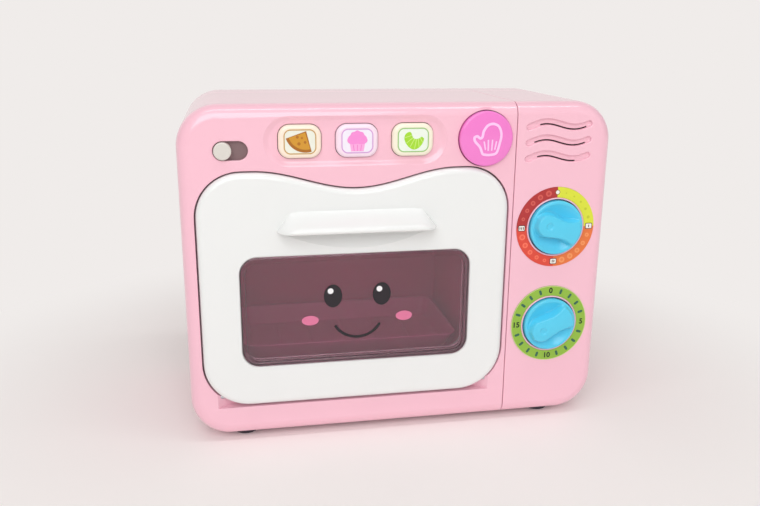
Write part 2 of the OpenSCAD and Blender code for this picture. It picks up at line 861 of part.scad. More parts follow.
module door_shell() {
    steps = 4;
    function edge_inset(i) =
        let (a = door_edge_r * (1 - (i + 0.5) / steps))
        door_edge_r - sqrt(door_edge_r * door_edge_r - a * a);
    color(white)
    difference() {
        union() {
            intersection() {
                union() {
                    for (i = [0:steps - 1])
                        plate(-door_proud + door_edge_r * i / steps, door_edge_r / steps + eps)
                            door_place() door_outline(-edge_inset(i));
                    plate(-door_proud + door_edge_r, door_t - door_edge_r)
                        door_place() door_outline(0);
                }
                // The lower rear edge is round about the pin
                union() {
                    translate([door_x - door_w, front_y - door_t, hinge_z])
                        cube([2 * door_w, 2 * door_t, door_h]);
                    translate([door_x - door_w, hinge_y, hinge_z])
                        rotate([0, 90, 0])
                            cylinder(r = barrel_r, h = 2 * door_w);
                }
            }
            handle_form();
        }
        // Hollow behind the skin, with room left for bosses, hinge blocks and the scoop
        difference() {
            plate(-door_proud + door_wall, door_t)
                door_place() door_outline(-door_wall);
            for (p = door_bosses)
                boss(door_x + p[0], door_z + p[1], -door_proud, door_back - inner_t, 3.2);
            scoop(door_wall);
            for (s = [-1, 1])
                translate([door_x + s * (well_end - hinge_block * 0.75) - hinge_block / 2, front_y - door_t,
                    door_z])
                    cube([hinge_block, door_t + hinge_in + 4, hinge_up + 4]);
        }
        // Seat for the window's flange
        plate(-door_proud + door_wall, door_t)
            translate([door_x, window_z])
                rounded_rect(window_w + 2 * window_flange + 0.2, window_h + 2 * window_flange + 0.2,
                    window_r + window_flange);
        scoop(0);
        plate(-door_proud - 1, door_t)
            translate([door_x, window_z])
                rounded_rect(window_w, window_h, window_r);
        for (s = [-1, 1])
            translate([door_x + s * pin_x, hinge_y, hinge_z])
                rotate([0, 90, 0])
                    cylinder(r = pin_r, h = pin_len, center = true);
        for (p = door_bosses)
            boss(door_x + p[0], door_z + p[1], door_back - inner_t - 7, door_back, screw_r);
    }
}

// Screw places inside the door, as [x, z] from the middle of its bottom edge
boss_side = (window_w / 2 + window_flange + door_w / 2 - door_wall) / 2;
door_bosses = [for (s = [-1, 1], z = [door_bottom_r + 14, door_h - door_top_r - 8]) [s * boss_side, z]];

module door_inner_panel() {
    color(white)
    difference() {
        union() {
            intersection() {
                plate(door_back - inner_t, inner_t)
                    door_place() door_outline(-door_wall - 0.1);
                translate([door_x - door_w, front_y, hinge_z + 0.5])
                    cube([2 * door_w, 2 * door_t, door_h]);
            }
            // Frame that presses the window's flange against the skin
            plate(-door_proud + door_wall + window_t, door_back + door_proud - door_wall - window_t - eps)
                translate([door_x, window_z])
                    rounded_rect(window_w + 2 * window_flange, window_h + 2 * window_flange,
                        window_r + window_flange);
            // Latch tongue
            translate([door_x - tongue_w / 2, front_y + door_back - eps, tongue_z - tongue_h / 2])
                cube([tongue_w, tongue_len, tongue_h]);
        }
        plate(-door_proud, door_t + 1)
            translate([door_x, window_z])
                rounded_rect(window_w - 1, window_h - 1, window_r - 0.5);
        for (p = door_bosses) {
            boss(door_x + p[0], door_z + p[1], door_back - inner_t - 1, door_back + 1, screw_r + 0.2);
            boss(door_x + p[0], door_z + p[1], door_back - 1.2, door_back + 1, head_r + 0.2);
        }
    }
}

module door_window() {
    color([0.60, 0.38, 0.55, 0.5])
    translate([0, -door_proud, 0]) {
        plate(door_wall - window_t, window_t)
            translate([door_x, window_z])
                rounded_rect(window_w - 2 * window_gap, window_h - 2 * window_gap, window_r - window_gap);
        plate(door_wall, window_t)
            translate([door_x, window_z])
                difference() {
                    rounded_rect(window_w + 2 * window_flange, window_h + 2 * window_flange,
                        window_r + window_flange);
                    rounded_rect(window_w - 8, window_h - 8, window_r - 4);
                }
        plate(door_wall - window_t - window_lip_h, window_lip_h + eps)
            translate([door_x, window_z])
                difference() {
                    rounded_rect(window_w - 2 * window_gap, window_h - 2 * window_gap, window_r - window_gap);
                    rounded_rect(window_w - 2 * window_gap - 2 * window_lip_w,
                        window_h - 2 * window_gap - 2 * window_lip_w, window_r - window_gap - window_lip_w);
                }
    }
}

module door_screws() {
    color(steel)
    for (p = door_bosses)
        translate([door_x + p[0], front_y + door_back - 1.2, door_z + p[1]])
            rotate([-90, 0, 0]) {
                cylinder(r = head_r, h = 1.2);
                translate([0, 0, -7])
                    cylinder(r = screw_r, h = 7 + eps);
            }
}

module hinge_pins() {
    color(steel)
    for (s = [-1, 1])
        translate([door_x + s * pin_x, hinge_y, hinge_z])
            rotate([0, 90, 0])
                cylinder(r = pin_r, h = pin_len, center = true);
}

// Sprung clip behind the pocket that grips the door's tongue
module door_catch() {
    h = tongue_h + 10;
    color(grey)
    difference() {
        translate([door_x - clip_w / 2, front_y + pocket_d + wall, tongue_z - h / 2 + 0.5])
            cube([clip_w, tongue_len + 1.5, h]);
        translate([door_x - clip_w, front_y + pocket_d, tongue_z - tongue_h / 2 - 0.3])
            cube([2 * clip_w, wall + tongue_len - 0.5, tongue_h + 1.6]);
    }
}

// Cap with a soft front edge, a retaining flange behind the wall and a stem for the rubber pad
module food_button(i) {
    top = recess_d - button_out;
    back = recess_d + wall;
    difference() {
        union() {
            for (k = [0:2])
                plate(top + k * 0.4, back - top - k * 0.4)
                    button_outline(i, -0.9 + k * 0.45);
            plate(back + 0.2, flange_t)
                button_outline(i, flange_out);
            plate(back - eps, 0.2 + eps * 2)
                button_outline(i, 0);
            along_y(door_x + i * button_pitch, back, button_z)
                cylinder(r = stem_r, h = button_board_in - button_travel - 0.3 - back);
        }
        plate(top + 1.6, back + 0.2 + flange_t - top - 1.6 + eps)
            difference() {
                button_outline(i, -1.6);
                translate([door_x + i * button_pitch, button_z])
                    circle(stem_r);
            }
    }
}

module pizza_button() { color([0.98, 0.95, 0.88]) food_button(-1); }
module cupcake_button() { color([0.95, 0.90, 0.97]) food_button(0); }
module croissant_button() { color([0.95, 0.97, 0.90]) food_button(1); }

// Round cap; its retaining flange is left off below and above, where the housing is near
module mitt_button() {
    back = mitt_out + mitt_seat + flange_t;
    foot = mitt_out + button_board_in - mitt_travel - 0.3;
    color([0.99, 0.52, 0.81]) {
        along_y(mitt_x, -mitt_out, button_z)
            rotate_extrude()
                polygon([[0, 0], [mitt_r - 1.2, 0], [mitt_r - 0.35, 0.35], [mitt_r, 1.2],
                    [mitt_r, back], [mitt_r - 1.6, back], [mitt_r - 1.6, 2], [stem_r, 2],
                    [stem_r, foot], [0, foot]]);
        plate(mitt_seat, flange_t)
            translate([mitt_x, button_z])
                intersection() {
                    difference() {
                        circle(mitt_r + flange_out);
                        circle(mitt_r - 1);
                    }
                    translate([-2 * mitt_r, -mitt_r * 0.6])
                        square([4 * mitt_r, mitt_r * 1.5]);
                }
    }
}

// Rubber pad on the board, with a collar round every button's stem
module button_pad() {
    color([0.80, 0.80, 0.82])
    difference() {
        union() {
            plate(button_board_in - pad_t, pad_t)
                translate([(stem_x[0] + mitt_x) / 2, button_z])
                    rounded_rect(mitt_x - stem_x[0] + 4 * stem_r, 4 * stem_r, 2);
            for (x = stem_x)
                along_y(x, button_board_in - pad_t - 1.2, button_z)
                    cylinder(r = stem_r + 2, h = 1.3);
        }
        for (x = stem_x)
            along_y(x, 0, button_z)
                cylinder(r = stem_r + 0.4, h = button_board_in + 1);
        along_y(board_posts[1], 0, button_z)
            cylinder(r = post_r + 0.2, h = button_board_in + 1);
    }
}

module button_board() {
    color(board_green)
    difference() {
        plate(button_board_in, board_t)
            translate([board_x, button_z])
                rounded_rect(board_w, button_board_h, 1.5);
        for (x = board_posts)
            boss(x, button_z, button_board_in - 1, button_board_in + board_t + 1, screw_r + 0.2);
    }
}

module button_board_screws() {
    color(steel)
    for (x = board_posts)
        translate([x, board_y + board_t, button_z])
            rotate([-90, 0, 0])
                screw(board_t + 6, 2);
}

// Nub in the slot, on a plate that slides behind the wall
module switch_slider() {
    color(white) {
        along_y(slot_x - slide_travel / 2, -nub_out, slot_z)
            rotate_extrude()
                polygon([[0, 0], [nub_r - 0.8, 0], [nub_r, 0.8], [nub_r, nub_out + wall + 0.3 + eps],
                    [0, nub_out + wall + 0.3 + eps]]);
        plate(wall + 0.3, 1.6)
            translate([slot_x - slide_travel / 2, slot_z])
                rounded_rect(slide_w, slot_h + 3, 2);
        along_y(slot_x - slide_travel / 2, wall + 1.8, slot_z)
            cylinder(r = 1.8, h = 3);
    }
}

module switch_body() {
    color(grey)
    difference() {
        plate(wall + 2.2, 9)
            translate([slot_x, slot_z])
                square([26, 11], center = true);
        plate(wall + 2.1, 4.2)
            translate([slot_x, slot_z])
                square([slide_travel + 6, 4.6], center = true);
    }
}

// Knob with a dished face, a waisted grip bar and a pointer end, its axis along Y
module knob(z, angle) {
    rim = -knob_out;
    tall = knob_out + knob_well - knob_gap;
    ball = (knob_r * 0.85 * knob_r * 0.85 + dish_d * dish_d) / (2 * dish_d);
    along_y(dial_x, 0, z)
        mirror([0, 1, 0])
        rotate(angle)
            difference() {
                union() {
                    difference() {
                        translate([0, 0, rim])
                            rotate_extrude()
                                polygon([[0, 0], [knob_r - 1.2, 0], [knob_r - 0.35, 0.35],
                                    [knob_r, 1.2], [knob_r, tall], [0, tall]]);
                        translate([0, 0, rim + dish_d - ball])
                            sphere(r = ball);
                    }
                    intersection() {
                        union() {
                            translate([grip_head_x, 0, rim - bar_h])
                                cylinder(r = grip_head_r, h = bar_h + dish_d + 1);
                            translate([-knob_r, 0, rim - bar_h])
                                linear_extrude(bar_h + dish_d + 1)
                                    polygon([[0, -grip_far], [0, grip_far], [knob_r * 0.8, grip_waist],
                                        [knob_r + grip_head_x, grip_waist * 1.1],
                                        [knob_r + grip_head_x, -grip_waist * 1.1],
                                        [knob_r * 0.8, -grip_waist]]);
                        }
                        translate([0, 0, rim - bar_h])
                            cylinder(r1 = knob_r - 3.5, r2 = knob_r - 0.8, h = bar_h + dish_d + 1);
                    }
                }
                translate([grip_head_x, 0, rim - bar_h - 1])
                    cylinder(r = knob_r * 0.14, h = 1.6);
                translate([0, 0, rim + dish_d + 1])
                    cylinder(r = shaft_r, h = knob_well + knob_out);
            }
}

module temperature_knob() { color(sky) knob(temperature_z, temperature_angle); }
module timer_knob() { color(sky) knob(timer_z, timer_angle); }

module dial_shaft(z) {
    start = -knob_out + dish_d + 1;
    along_y(dial_x, start, z)
        cylinder(r = shaft_r, h = main_board_in - 1 - start);
}

module temperature_shaft() { color(steel) dial_shaft(temperature_z); }
module timer_shaft() { color(steel) dial_shaft(timer_z); }

module encoder(z) {
    difference() {
        union() {
            plate(main_board_in - encoder_d, encoder_d)
                translate([dial_x, z])
                    square([encoder_w, encoder_w], center = true);
            along_y(dial_x, main_board_in - encoder_d - bush_len, z)
                cylinder(r = bush_r, h = bush_len + eps);
        }
        along_y(dial_x, 0, z)
            cylinder(r = shaft_r + shaft_clear, h = main_board_in - 0.5);
    }
}

module temperature_encoder() { color(grey) encoder(temperature_z); }
module timer_encoder() { color(grey) encoder(timer_z); }

module dial_ring(z) {
    along_y(dial_x, ring_sunk - ring_t, z)
        difference() {
            cylinder(r = ring_r, h = ring_t);
            translate([0, 0, -1])
                cylinder(r = ring_r - ring_w, h = ring_t + 2);
        }
}

module temperature_ring() { color([0.94, 0.49, 0.25]) dial_ring(temperature_z); }
module timer_ring() { color([0.59, 0.75, 0.24]) dial_ring(timer_z); }

module main_board() {
    color(board_green)
    difference() {
        plate(main_board_in, board_t)
            translate([dial_x, main_z])
                rounded_rect(main_board_w, main_board_h, 1.5);
        for (x = main_post_x, z = main_post_z)
            boss(dial_x + x, main_z + z, main_board_in - 1, main_board_in + board_t + 1, screw_r + 0.2);
    }
}

module main_board_screws() {
    color(steel)
    for (x = main_post_x, z = main_post_z)
        translate([dial_x + x, main_y + board_t, main_z + z])
            rotate([-90, 0, 0])
                screw(board_t + 6, 2);
}

module sound_chip() {
    color([0.1, 0.1, 0.1])
    plate(main_board_in + board_t, 3)
        translate([dial_x, main_z])
            square([18, 18], center = true);
}

module speaker_frame() {
    color(grey)
    along_y(dial_x, speaker_y - front_y, speaker_z)
        rotate_extrude()
            polygon([[speaker_r - 2.5, 0], [speaker_r, 0], [speaker_r, 2], [speaker_r - 1, 2],
                [speaker_r * 0.55, speaker_d * 0.6], [speaker_r * 0.55 - 1.2, speaker_d * 0.6],
                [speaker_r - 2.5, 2]]);
}

module speaker_cone() {
    color([0.15, 0.15, 0.16])
    along_y(dial_x, speaker_y - front_y, speaker_z)
        rotate_extrude()
            polygon([[0, 3], [speaker_r * 0.3, 4], [speaker_r - 2.5, 0.2], [speaker_r - 2.5, 0.8],
                [speaker_r * 0.3, 4.8], [0, 3.8]]);
}

module speaker_magnet() {
    color(steel)
    along_y(dial_x, speaker_y - front_y + speaker_d * 0.6, speaker_z)
        cylinder(r = speaker_r * 0.6, h = speaker_d * 0.4);
}

module cavity_lamp() {
    z = cavity_z + cavity_h + liner_t;
    color([0.95, 0.93, 0.85])
    translate([door_x, lamp_y, z + 1.52]) {
        cylinder(r = 2.5, h = 4);
        translate([0, 0, 4 - eps])
            cylinder(r = lamp_r - 0.5, h = board_t);
        sphere(r = 2.5 - eps);
    }
}

// Clear cup in the roof of the cavity, which carries the lamp in its rim
module lamp_lens() {
    z = cavity_z + cavity_h;
    color([0.98, 0.96, 0.90, 0.6])
    translate([door_x, lamp_y, z - 0.5])
        rotate_extrude()
            polygon([[0, 0], [lamp_r - 2.1, 0], [lamp_r - 2.1, liner_t + 0.5], [lamp_r, liner_t + 0.5],
                [lamp_r, liner_t + 6], [lamp_r - 1.5, liner_t + 6], [lamp_r - 1.5, liner_t + 1.6],
                [lamp_r - 3, 1.5], [0, 1]]);
}

module battery_box() {
    color([0.2, 0.2, 0.22])
    difference() {
        union() {
            translate([door_x - box_w / 2, box_y, box_z - box_h / 2])
                cube([box_w, box_d, box_h]);
            // Flange behind the strip over the cells, with the boss for the cover's screw
            translate([door_x - box_w / 2, back_y - wall - box_t, box_z])
                cube([box_w, box_t, box_h / 2 + bay_tab]);
            boss(door_x, bay_screw_z, housing_d - wall - 9, housing_d - wall, boss_r);
        }
        translate([door_x - box_w / 2 + box_t, box_y + box_t, box_z - box_h / 2 + box_t])
            cube([box_w - 2 * box_t, box_d, box_h - 2 * box_t]);
        boss(door_x, bay_screw_z, housing_d - wall - 8, housing_d, screw_r);
    }
}

module cell_rows() {
    for (i = [0:cells - 1])
        translate([door_x, box_y + box_t + 0.4 + cell_d / 2, box_z + (i - (cells - 1) / 2) * (cell_d + 1)])
            mirror([i % 2, 0, 0])
                children();
}

module batteries() {
    r = cell_d / 2;
    nub = 1.5;
    color([0.85, 0.65, 0.25])
    cell_rows()
        translate([-cell_len / 2 - 0.5, 0, 0])
            rotate([0, 90, 0])
                rotate_extrude()
                    polygon([[0, 0], [r - 0.4, 0], [r, 0.4], [r, cell_len - 0.4], [r - 0.4, cell_len],
                        [2.7, cell_len], [2.7, cell_len + nub], [0, cell_len + nub]]);
}

// A flat plate at each nub and a conical spring plate at each flat end
module battery_contacts() {
    inside = box_w / 2 - box_t;
    color(steel)
    cell_rows() {
        translate([inside - 0.5, -4, -5])
            cube([0.5, 8, 10]);
        translate([-inside, -4, -5])
            cube([0.5, 8, 10]);
        translate([-inside + 0.5 - eps, 0, 0])
            rotate([0, 90, 0])
                cylinder(r1 = 4, r2 = 2.4, h = inside - 0.5 - cell_len / 2 - 0.6);
        translate([cell_len / 2 + 1.1, 0, 0])
            rotate([0, 90, 0])
                cylinder(r = 2.4, h = inside - 0.5 - cell_len / 2 - 1.1 + eps);
    }
}

module battery_cover() {
    color(pink)
    difference() {
        union() {
            plate(housing_d - wall, wall)
                bay_outline(-0.3);
            // Pad that keeps the cells in place
            plate(housing_d - wall - 0.8, 0.8 + eps)
                translate([door_x, box_z])
                    square([box_w - 4 * boss_r, box_h - 4 * box_t], center = true);
        }
        boss(door_x, bay_screw_z, housing_d - wall - 1, housing_d + 1, screw_r + 0.2);
        boss(door_x, bay_screw_z, housing_d - head_h, housing_d + 1, head_r + 0.2);
        // Thumb notch
        plate(housing_d - 1, 2)
            translate([door_x, box_z - box_h / 2 + 8])
                rounded_rect(16, 5, 2.4);
    }
}

module battery_cover_screw() {
    color(steel)
    translate([door_x, back_y - head_h, bay_screw_z])
        rotate([-90, 0, 0])
            screw(7, 2);
}

// Wire through a list of points, round at its bends
module wire(points) {
    for (i = [0:len(points) - 2]) {
        a = points[i];
        v = points[i + 1] - a;
        len = norm(v);
        translate(a)
            rotate([0, acos(v[2] / len), atan2(v[1], v[0])])
                cylinder(r = wire_r, h = len);
        if (i > 0)
            translate(a)
                sphere(r = wire_r + 0.06);
    }
}

module battery_wires() {
    x0 = door_x + box_w / 2;
    y0 = box_y + 6;
    color([0.8, 0.1, 0.1])
    for (s = [-1, 1])
        wire([[x0, y0, box_z + s * 3], [dial_x - 6, y0, box_z + s * 3],
            [dial_x - wire_side, main_y + board_t + wire_arch, main_z - main_board_h / 5 + s * 3],
            [dial_x - wire_side, main_y + board_t, main_z - main_board_h / 5 + s * 3]]);
}

module speaker_wires() {
    y0 = speaker_y + speaker_d;
    z0 = speaker_z - speaker_r * 0.4;
    z1 = main_z + main_board_h / 3;
    color([0.1, 0.1, 0.1])
    for (x = [dial_x - 4, dial_x + 4])
        wire([[x, y0, z0], [x, y0 + 6, z0], [x, y0 + 14, z0 - 8], [x, main_y + board_t + wire_arch, z1],
            [x, main_y + board_t, z1]]);
}

module lamp_wires() {
    z = cavity_z + cavity_h + liner_t + 5.52 + board_t;
    x1 = dial_x - 16;
    z1 = main_z + main_board_h / 4;
    color([0.9, 0.9, 0.9])
    for (s = [-2, 2])
        wire([[door_x, lamp_y + s, z], [door_x, lamp_y + s, z + 6], [x1 + s, lamp_y + s, z + 6],
            [x1 + s, main_y + board_t + wire_arch, z1], [x1 + s, main_y + board_t, z1]]);
}

main_housing();
control_housing();
rear_cover();
feet();
housing_screws();
cavity_liner();
tray();
door_shell();
door_inner_panel();
door_window();
door_screws();
hinge_pins();
door_catch();
pizza_button();
cupcake_button();
croissant_button();
mitt_button();
button_pad();
button_board();
button_board_screws();
switch_slider();
switch_body();
temperature_knob();
timer_knob();
temperature_shaft();
timer_shaft();
temperature_encoder();
timer_encoder();
temperature_ring();
timer_ring();
main_board();
main_board_screws();
sound_chip();
speaker_frame();
speaker_cone();
speaker_magnet();
cavity_lamp();
lamp_lens();
battery_box();
batteries();
battery_contacts();
battery_cover();
battery_cover_screw();
battery_wires();
speaker_wires();
lamp_wires();
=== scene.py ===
# Toy oven: smooth shells, door, window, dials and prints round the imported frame
import json
import math

import bpy
import bmesh
from mathutils import Matrix, Vector

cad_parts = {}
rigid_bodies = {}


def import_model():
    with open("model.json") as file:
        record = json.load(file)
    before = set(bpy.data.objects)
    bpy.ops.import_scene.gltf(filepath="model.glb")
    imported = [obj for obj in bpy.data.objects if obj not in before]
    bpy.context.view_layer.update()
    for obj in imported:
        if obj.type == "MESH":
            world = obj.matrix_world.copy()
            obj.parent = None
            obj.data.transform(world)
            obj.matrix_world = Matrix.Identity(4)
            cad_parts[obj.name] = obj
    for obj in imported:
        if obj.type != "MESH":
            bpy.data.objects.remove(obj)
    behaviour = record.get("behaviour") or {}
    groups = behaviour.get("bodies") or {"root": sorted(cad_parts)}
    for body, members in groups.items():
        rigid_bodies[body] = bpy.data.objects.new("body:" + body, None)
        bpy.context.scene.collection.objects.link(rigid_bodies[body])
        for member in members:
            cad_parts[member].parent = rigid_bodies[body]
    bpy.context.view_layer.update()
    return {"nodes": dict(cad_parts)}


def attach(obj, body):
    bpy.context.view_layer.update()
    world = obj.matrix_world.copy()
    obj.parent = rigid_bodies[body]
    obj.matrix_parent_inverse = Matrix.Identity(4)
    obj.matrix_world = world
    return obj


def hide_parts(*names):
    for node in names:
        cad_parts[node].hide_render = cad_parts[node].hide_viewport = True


bpy.ops.object.select_all(action="SELECT")
bpy.ops.object.delete()
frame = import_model()
nodes = frame["nodes"]
mm = 0.001
print("frame loaded:", len(nodes), "nodes")


# camera
cameraView = {
    "place": (-0.1068, -0.5378, 0.2652),
    "forward": (0.1795, 0.9453, -0.2723),
    "right": (0.9828, -0.1844, 0.0079),
    "lens": 37.29,
}


def placeCamera(view):
    bpy.ops.object.camera_add(location=view["place"])
    camera = bpy.context.object
    back = -Vector(view["forward"]).normalized()
    side = Vector(view["right"]).normalized()
    up = back.cross(side)
    turn = Matrix((side, up, back)).transposed().to_4x4()
    camera.matrix_world = Matrix.Translation(view["place"]) @ turn
    camera.data.sensor_width = 36
    camera.data.lens = view["lens"]
    camera.data.clip_start = 0.01
    bpy.context.scene.camera = camera


placeCamera(cameraView)


# modelling helpers
def pickNothing():
    bpy.ops.object.select_all(action="DESELECT")


def alone(*objs):
    pickNothing()
    for obj in objs:
        obj.select_set(True)
    bpy.context.view_layer.objects.active = objs[0]


def markAll():
    bpy.ops.mesh.select_all(action="SELECT")


def markNone():
    bpy.ops.mesh.select_all(action="DESELECT")


def openShape(obj, kind="FACE"):
    alone(obj)
    bpy.ops.object.mode_set(mode="EDIT")
    bpy.ops.mesh.select_mode(type=kind)
    markNone()


def closeShape():
    bpy.ops.object.mode_set(mode="OBJECT")


def pickFaces(test):
    data = bpy.context.object.data
    shape = bmesh.from_edit_mesh(data)
    for face in shape.faces:
        face.select_set(bool(test(face.calc_center_median() / mm, face.normal)))
    bmesh.update_edit_mesh(data)


def pickEdges(test):
    data = bpy.context.object.data
    shape = bmesh.from_edit_mesh(data)
    for edge in shape.edges:
        edge.select_set(all(test(v.co) for v in edge.verts))
    bmesh.update_edit_mesh(data)


def arcPoints(x, z, r, start, end, steps):
    turns = [math.radians(start + (end - start) * i / steps) for i in range(steps + 1)]
    return [(x + r * math.cos(a), z + r * math.sin(a)) for a in turns]


def roundedLoop(x, z, w, h, r, steps=16):
    loop = []
    for sx, sz, start in ((1, -1, -90), (1, 1, 0), (-1, 1, 90), (-1, -1, 180)):
        loop += arcPoints(x + sx * (w / 2 - r), z + sz * (h / 2 - r), r, start, start + 90, steps)
    return tidyLoop(loop)


def plateLoop(plan, grow=0.0, steps=12, x=None):
    # rounded outline of a piece with x, z, width, height and round, grown on all sides
    return roundedLoop(plan["x"] if x is None else x, plan["z"], plan["width"] + 2 * grow,
                       plan["height"] + 2 * grow, plan["round"] + grow, steps)


def circleLoop(x, z, r, steps=96):
    return arcPoints(x, z, r, 0, 360 - 360 / steps, steps - 1)


def tidyLoop(loop):
    kept = []
    for p in loop:
        if not kept or math.dist(p, kept[-1]) > 1e-4:
            kept.append(p)
    while math.dist(kept[0], kept[-1]) < 1e-4:
        kept.pop()
    return kept


def layLoop(name, loop, y, facing=-1):
    # a flat curve through the points becomes one face across Y
    curve = bpy.data.curves.new(name, "CURVE")
    curve.dimensions = "3D"
    spline = curve.splines.new("POLY")
    spline.points.add(len(loop) - 1)
    for knot, (x, z) in zip(spline.points, loop):
        knot.co = (x * mm, y * mm, z * mm, 1)
    spline.use_cyclic_u = True
    obj = bpy.data.objects.new(name, curve)
    bpy.context.collection.objects.link(obj)
    alone(obj)
    bpy.ops.object.convert(target="MESH")
    obj = bpy.context.object
    bpy.ops.object.mode_set(mode="EDIT")
    bpy.ops.mesh.select_mode(type="VERT")
    markAll()
    bpy.ops.mesh.edge_face_add()
    bpy.ops.mesh.select_mode(type="FACE")
    markAll()
    face = bmesh.from_edit_mesh(obj.data).faces[:][0]
    if face.normal.y * facing < 0:
        bpy.ops.mesh.flip_normals()
    return obj


def roundOver(r, steps=6):
    # insets and rises that turn a wall into a face over a quarter round
    turns = [i * math.pi / 2 / steps for i in range(steps + 1)]
    return [(r * (math.cos(a) - math.cos(b)), r * (math.sin(b) - math.sin(a)))
            for a, b in zip(turns, turns[1:])]


def roundInto(r, steps=6):
    # insets and rises of a cutter that leaves a quarter round along the rim of its hole
    turns = [math.radians(8) + i * (math.pi / 2 - math.radians(8)) / steps for i in range(steps + 1)]
    return [(r * (math.sin(b) - math.sin(a)), r * (math.cos(a) - math.cos(b)))
            for a, b in zip(turns, turns[1:])]


def ease(a, b, t):
    t = min(1, max(0, (t - a) / (b - a)))
    return t * t * (3 - 2 * t)


def gentleSlope(width, depth, start, steps=9):
    # insets and rises of a slope that leaves one face and meets another softly
    turns = [start + (1 - start) * i / steps for i in range(steps + 1)]
    return [(width * (b - a), depth * (ease(0, 1, b) - ease(0, 1, a))) for a, b in zip(turns, turns[1:])]


def shapeCap(moves):
    for inset, rise in moves:
        bpy.ops.mesh.inset(thickness=inset * mm, depth=rise * mm, use_even_offset=True)


def pull(y, z=0):
    bpy.ops.mesh.extrude_region_move(TRANSFORM_OT_translate={"value": (0, y * mm, z * mm)})


def roundEdges(r, segments):
    bpy.ops.mesh.bevel(offset=r * mm, segments=segments, affect="EDGES")


def softSolid(name, loop, front, back, frontRound=0, backRound=0, steps=6):
    # plate with its edges rounded over in front and behind
    obj = layLoop(name, loop, back - backRound, -1)
    pull(-(back - backRound - front - frontRound))
    if frontRound:
        shapeCap(roundOver(frontRound, steps))
    if backRound:
        markNone()
        pickFaces(lambda c, n: n.y > 0.9 and abs(c.y - back + backRound) < 0.01)
        shapeCap(roundOver(backRound, max(3, steps // 2)))
    closeShape()
    return obj


def flaredCutter(name, bigLoop, face, end, flare, steps=5, floorRound=0, towards=1):
    # cutter that starts outside a face and leaves a rounded rim; bigLoop is the rim's outer line
    obj = layLoop(name, bigLoop, face - towards, towards)
    pull(towards * (1 + flare * (1 - math.cos(math.radians(8)))))
    shapeCap(roundInto(flare, steps))
    pull(towards * (abs(end - face) - flare - floorRound))
    if floorRound:
        shapeCap(roundOver(floorRound, steps))
    closeShape()
    return obj


def bake(obj, modifier):
    alone(obj)
    bpy.ops.object.modifier_apply(modifier=modifier.name)


def joinAll(objs):
    if len(objs) > 1:
        alone(*objs)
        bpy.ops.object.join()
    return objs[0]


def combine(obj, tools, operation="DIFFERENCE"):
    tool = joinAll(tools if isinstance(tools, list) else [tools])
    modifier = obj.modifiers.new("combine", "BOOLEAN")
    modifier.operation = operation
    modifier.solver = "EXACT"
    modifier.object = tool
    bake(obj, modifier)
    bpy.data.objects.remove(tool, do_unlink=True)
    return obj


def softBox(name, low, high, edge=0, segments=3):
    obj = addShape(bpy.ops.mesh.primitive_cube_add, name, size=1,
                   location=[(a + b) / 2 * mm for a, b in zip(low, high)],
                   scale=[(b - a) * mm for a, b in zip(low, high)])
    if edge:
        openShape(obj, "EDGE")
        markAll()
        roundEdges(edge, segments)
        closeShape()
    return obj


def settle(obj):
    # the object goes back to the origin, with its place in its mesh
    alone(obj)
    bpy.ops.object.transform_apply(location=True, rotation=True, scale=True)


def addShape(operator, name, **options):
    # a primitive, settled; its lengths are metres, as the operator takes them
    pickNothing()
    operator(**options)
    obj = bpy.context.object
    obj.name = name
    settle(obj)
    return obj


def smooth(obj, angle=35):
    alone(obj)
    bpy.ops.object.shade_smooth_by_angle(angle=math.radians(angle))
    modifier = obj.modifiers.new("evenNormals", "WEIGHTED_NORMAL")
    modifier.keep_sharp = True
    modifier.weight = 60
    bake(obj, modifier)
    return obj


def moved(loop, dx=0, dz=0, turn=0, size=1):
    c, s = math.cos(math.radians(turn)) * size, math.sin(math.radians(turn)) * size
    return [(dx + c * x - s * z, dz + s * x + c * z) for x, z in loop]


def offsetPath(path, d):
    # points beside an open line, d to its left
    out = []
    for i, (x, z) in enumerate(path):
        ax, az = path[max(0, i - 1)]
        bx, bz = path[min(len(path) - 1, i + 1)]
        length = math.hypot(bx - ax, bz - az)
        out.append((x - d * (bz - az) / length, z + d * (bx - ax) / length))
    return out


def strokeLoop(path, width, ends=8):
    # outline of a line drawn with a round pen
    loop = []
    for line in (path, path[::-1]):
        (ax, az), (bx, bz) = line[-2], line[-1]
        heading = math.degrees(math.atan2(bz - az, bx - ax))
        loop += offsetPath(line, -width / 2)
        loop += arcPoints(bx, bz, width / 2, heading - 90, heading + 90, ends)
    return tidyLoop(loop)


# materials
def srgb(*rgb):
    return tuple((c / 255 / 12.92) if c / 255 <= 0.04045 else ((c / 255 + 0.055) / 1.055) ** 2.4
                 for c in rgb) + (1,)


def setInputs(node, values):
    for key, value in values.items():
        node.inputs[key].default_value = value


def treeOf(owner):
    owner.use_nodes = True
    return owner.node_tree.nodes, owner.node_tree.links.new


def blendInto(end, tree, link, amount, first, second):
    # the end node's surface goes from the first shader to the second as the amount grows
    mix = tree.new("ShaderNodeMixShader")
    for socket, value in zip(mix.inputs, (amount, first, second)):
        link(value, socket)
    link(mix.outputs["Shader"], tree[end].inputs["Surface"])


def mathsNode(tree, link, kind, a, b):
    node = tree.new("ShaderNodeMath")
    node.operation = kind
    for socket, value in zip(node.inputs, (a, b)):
        if isinstance(value, (int, float)):
            socket.default_value = value
        else:
            link(value, socket)
    return node.outputs[0]


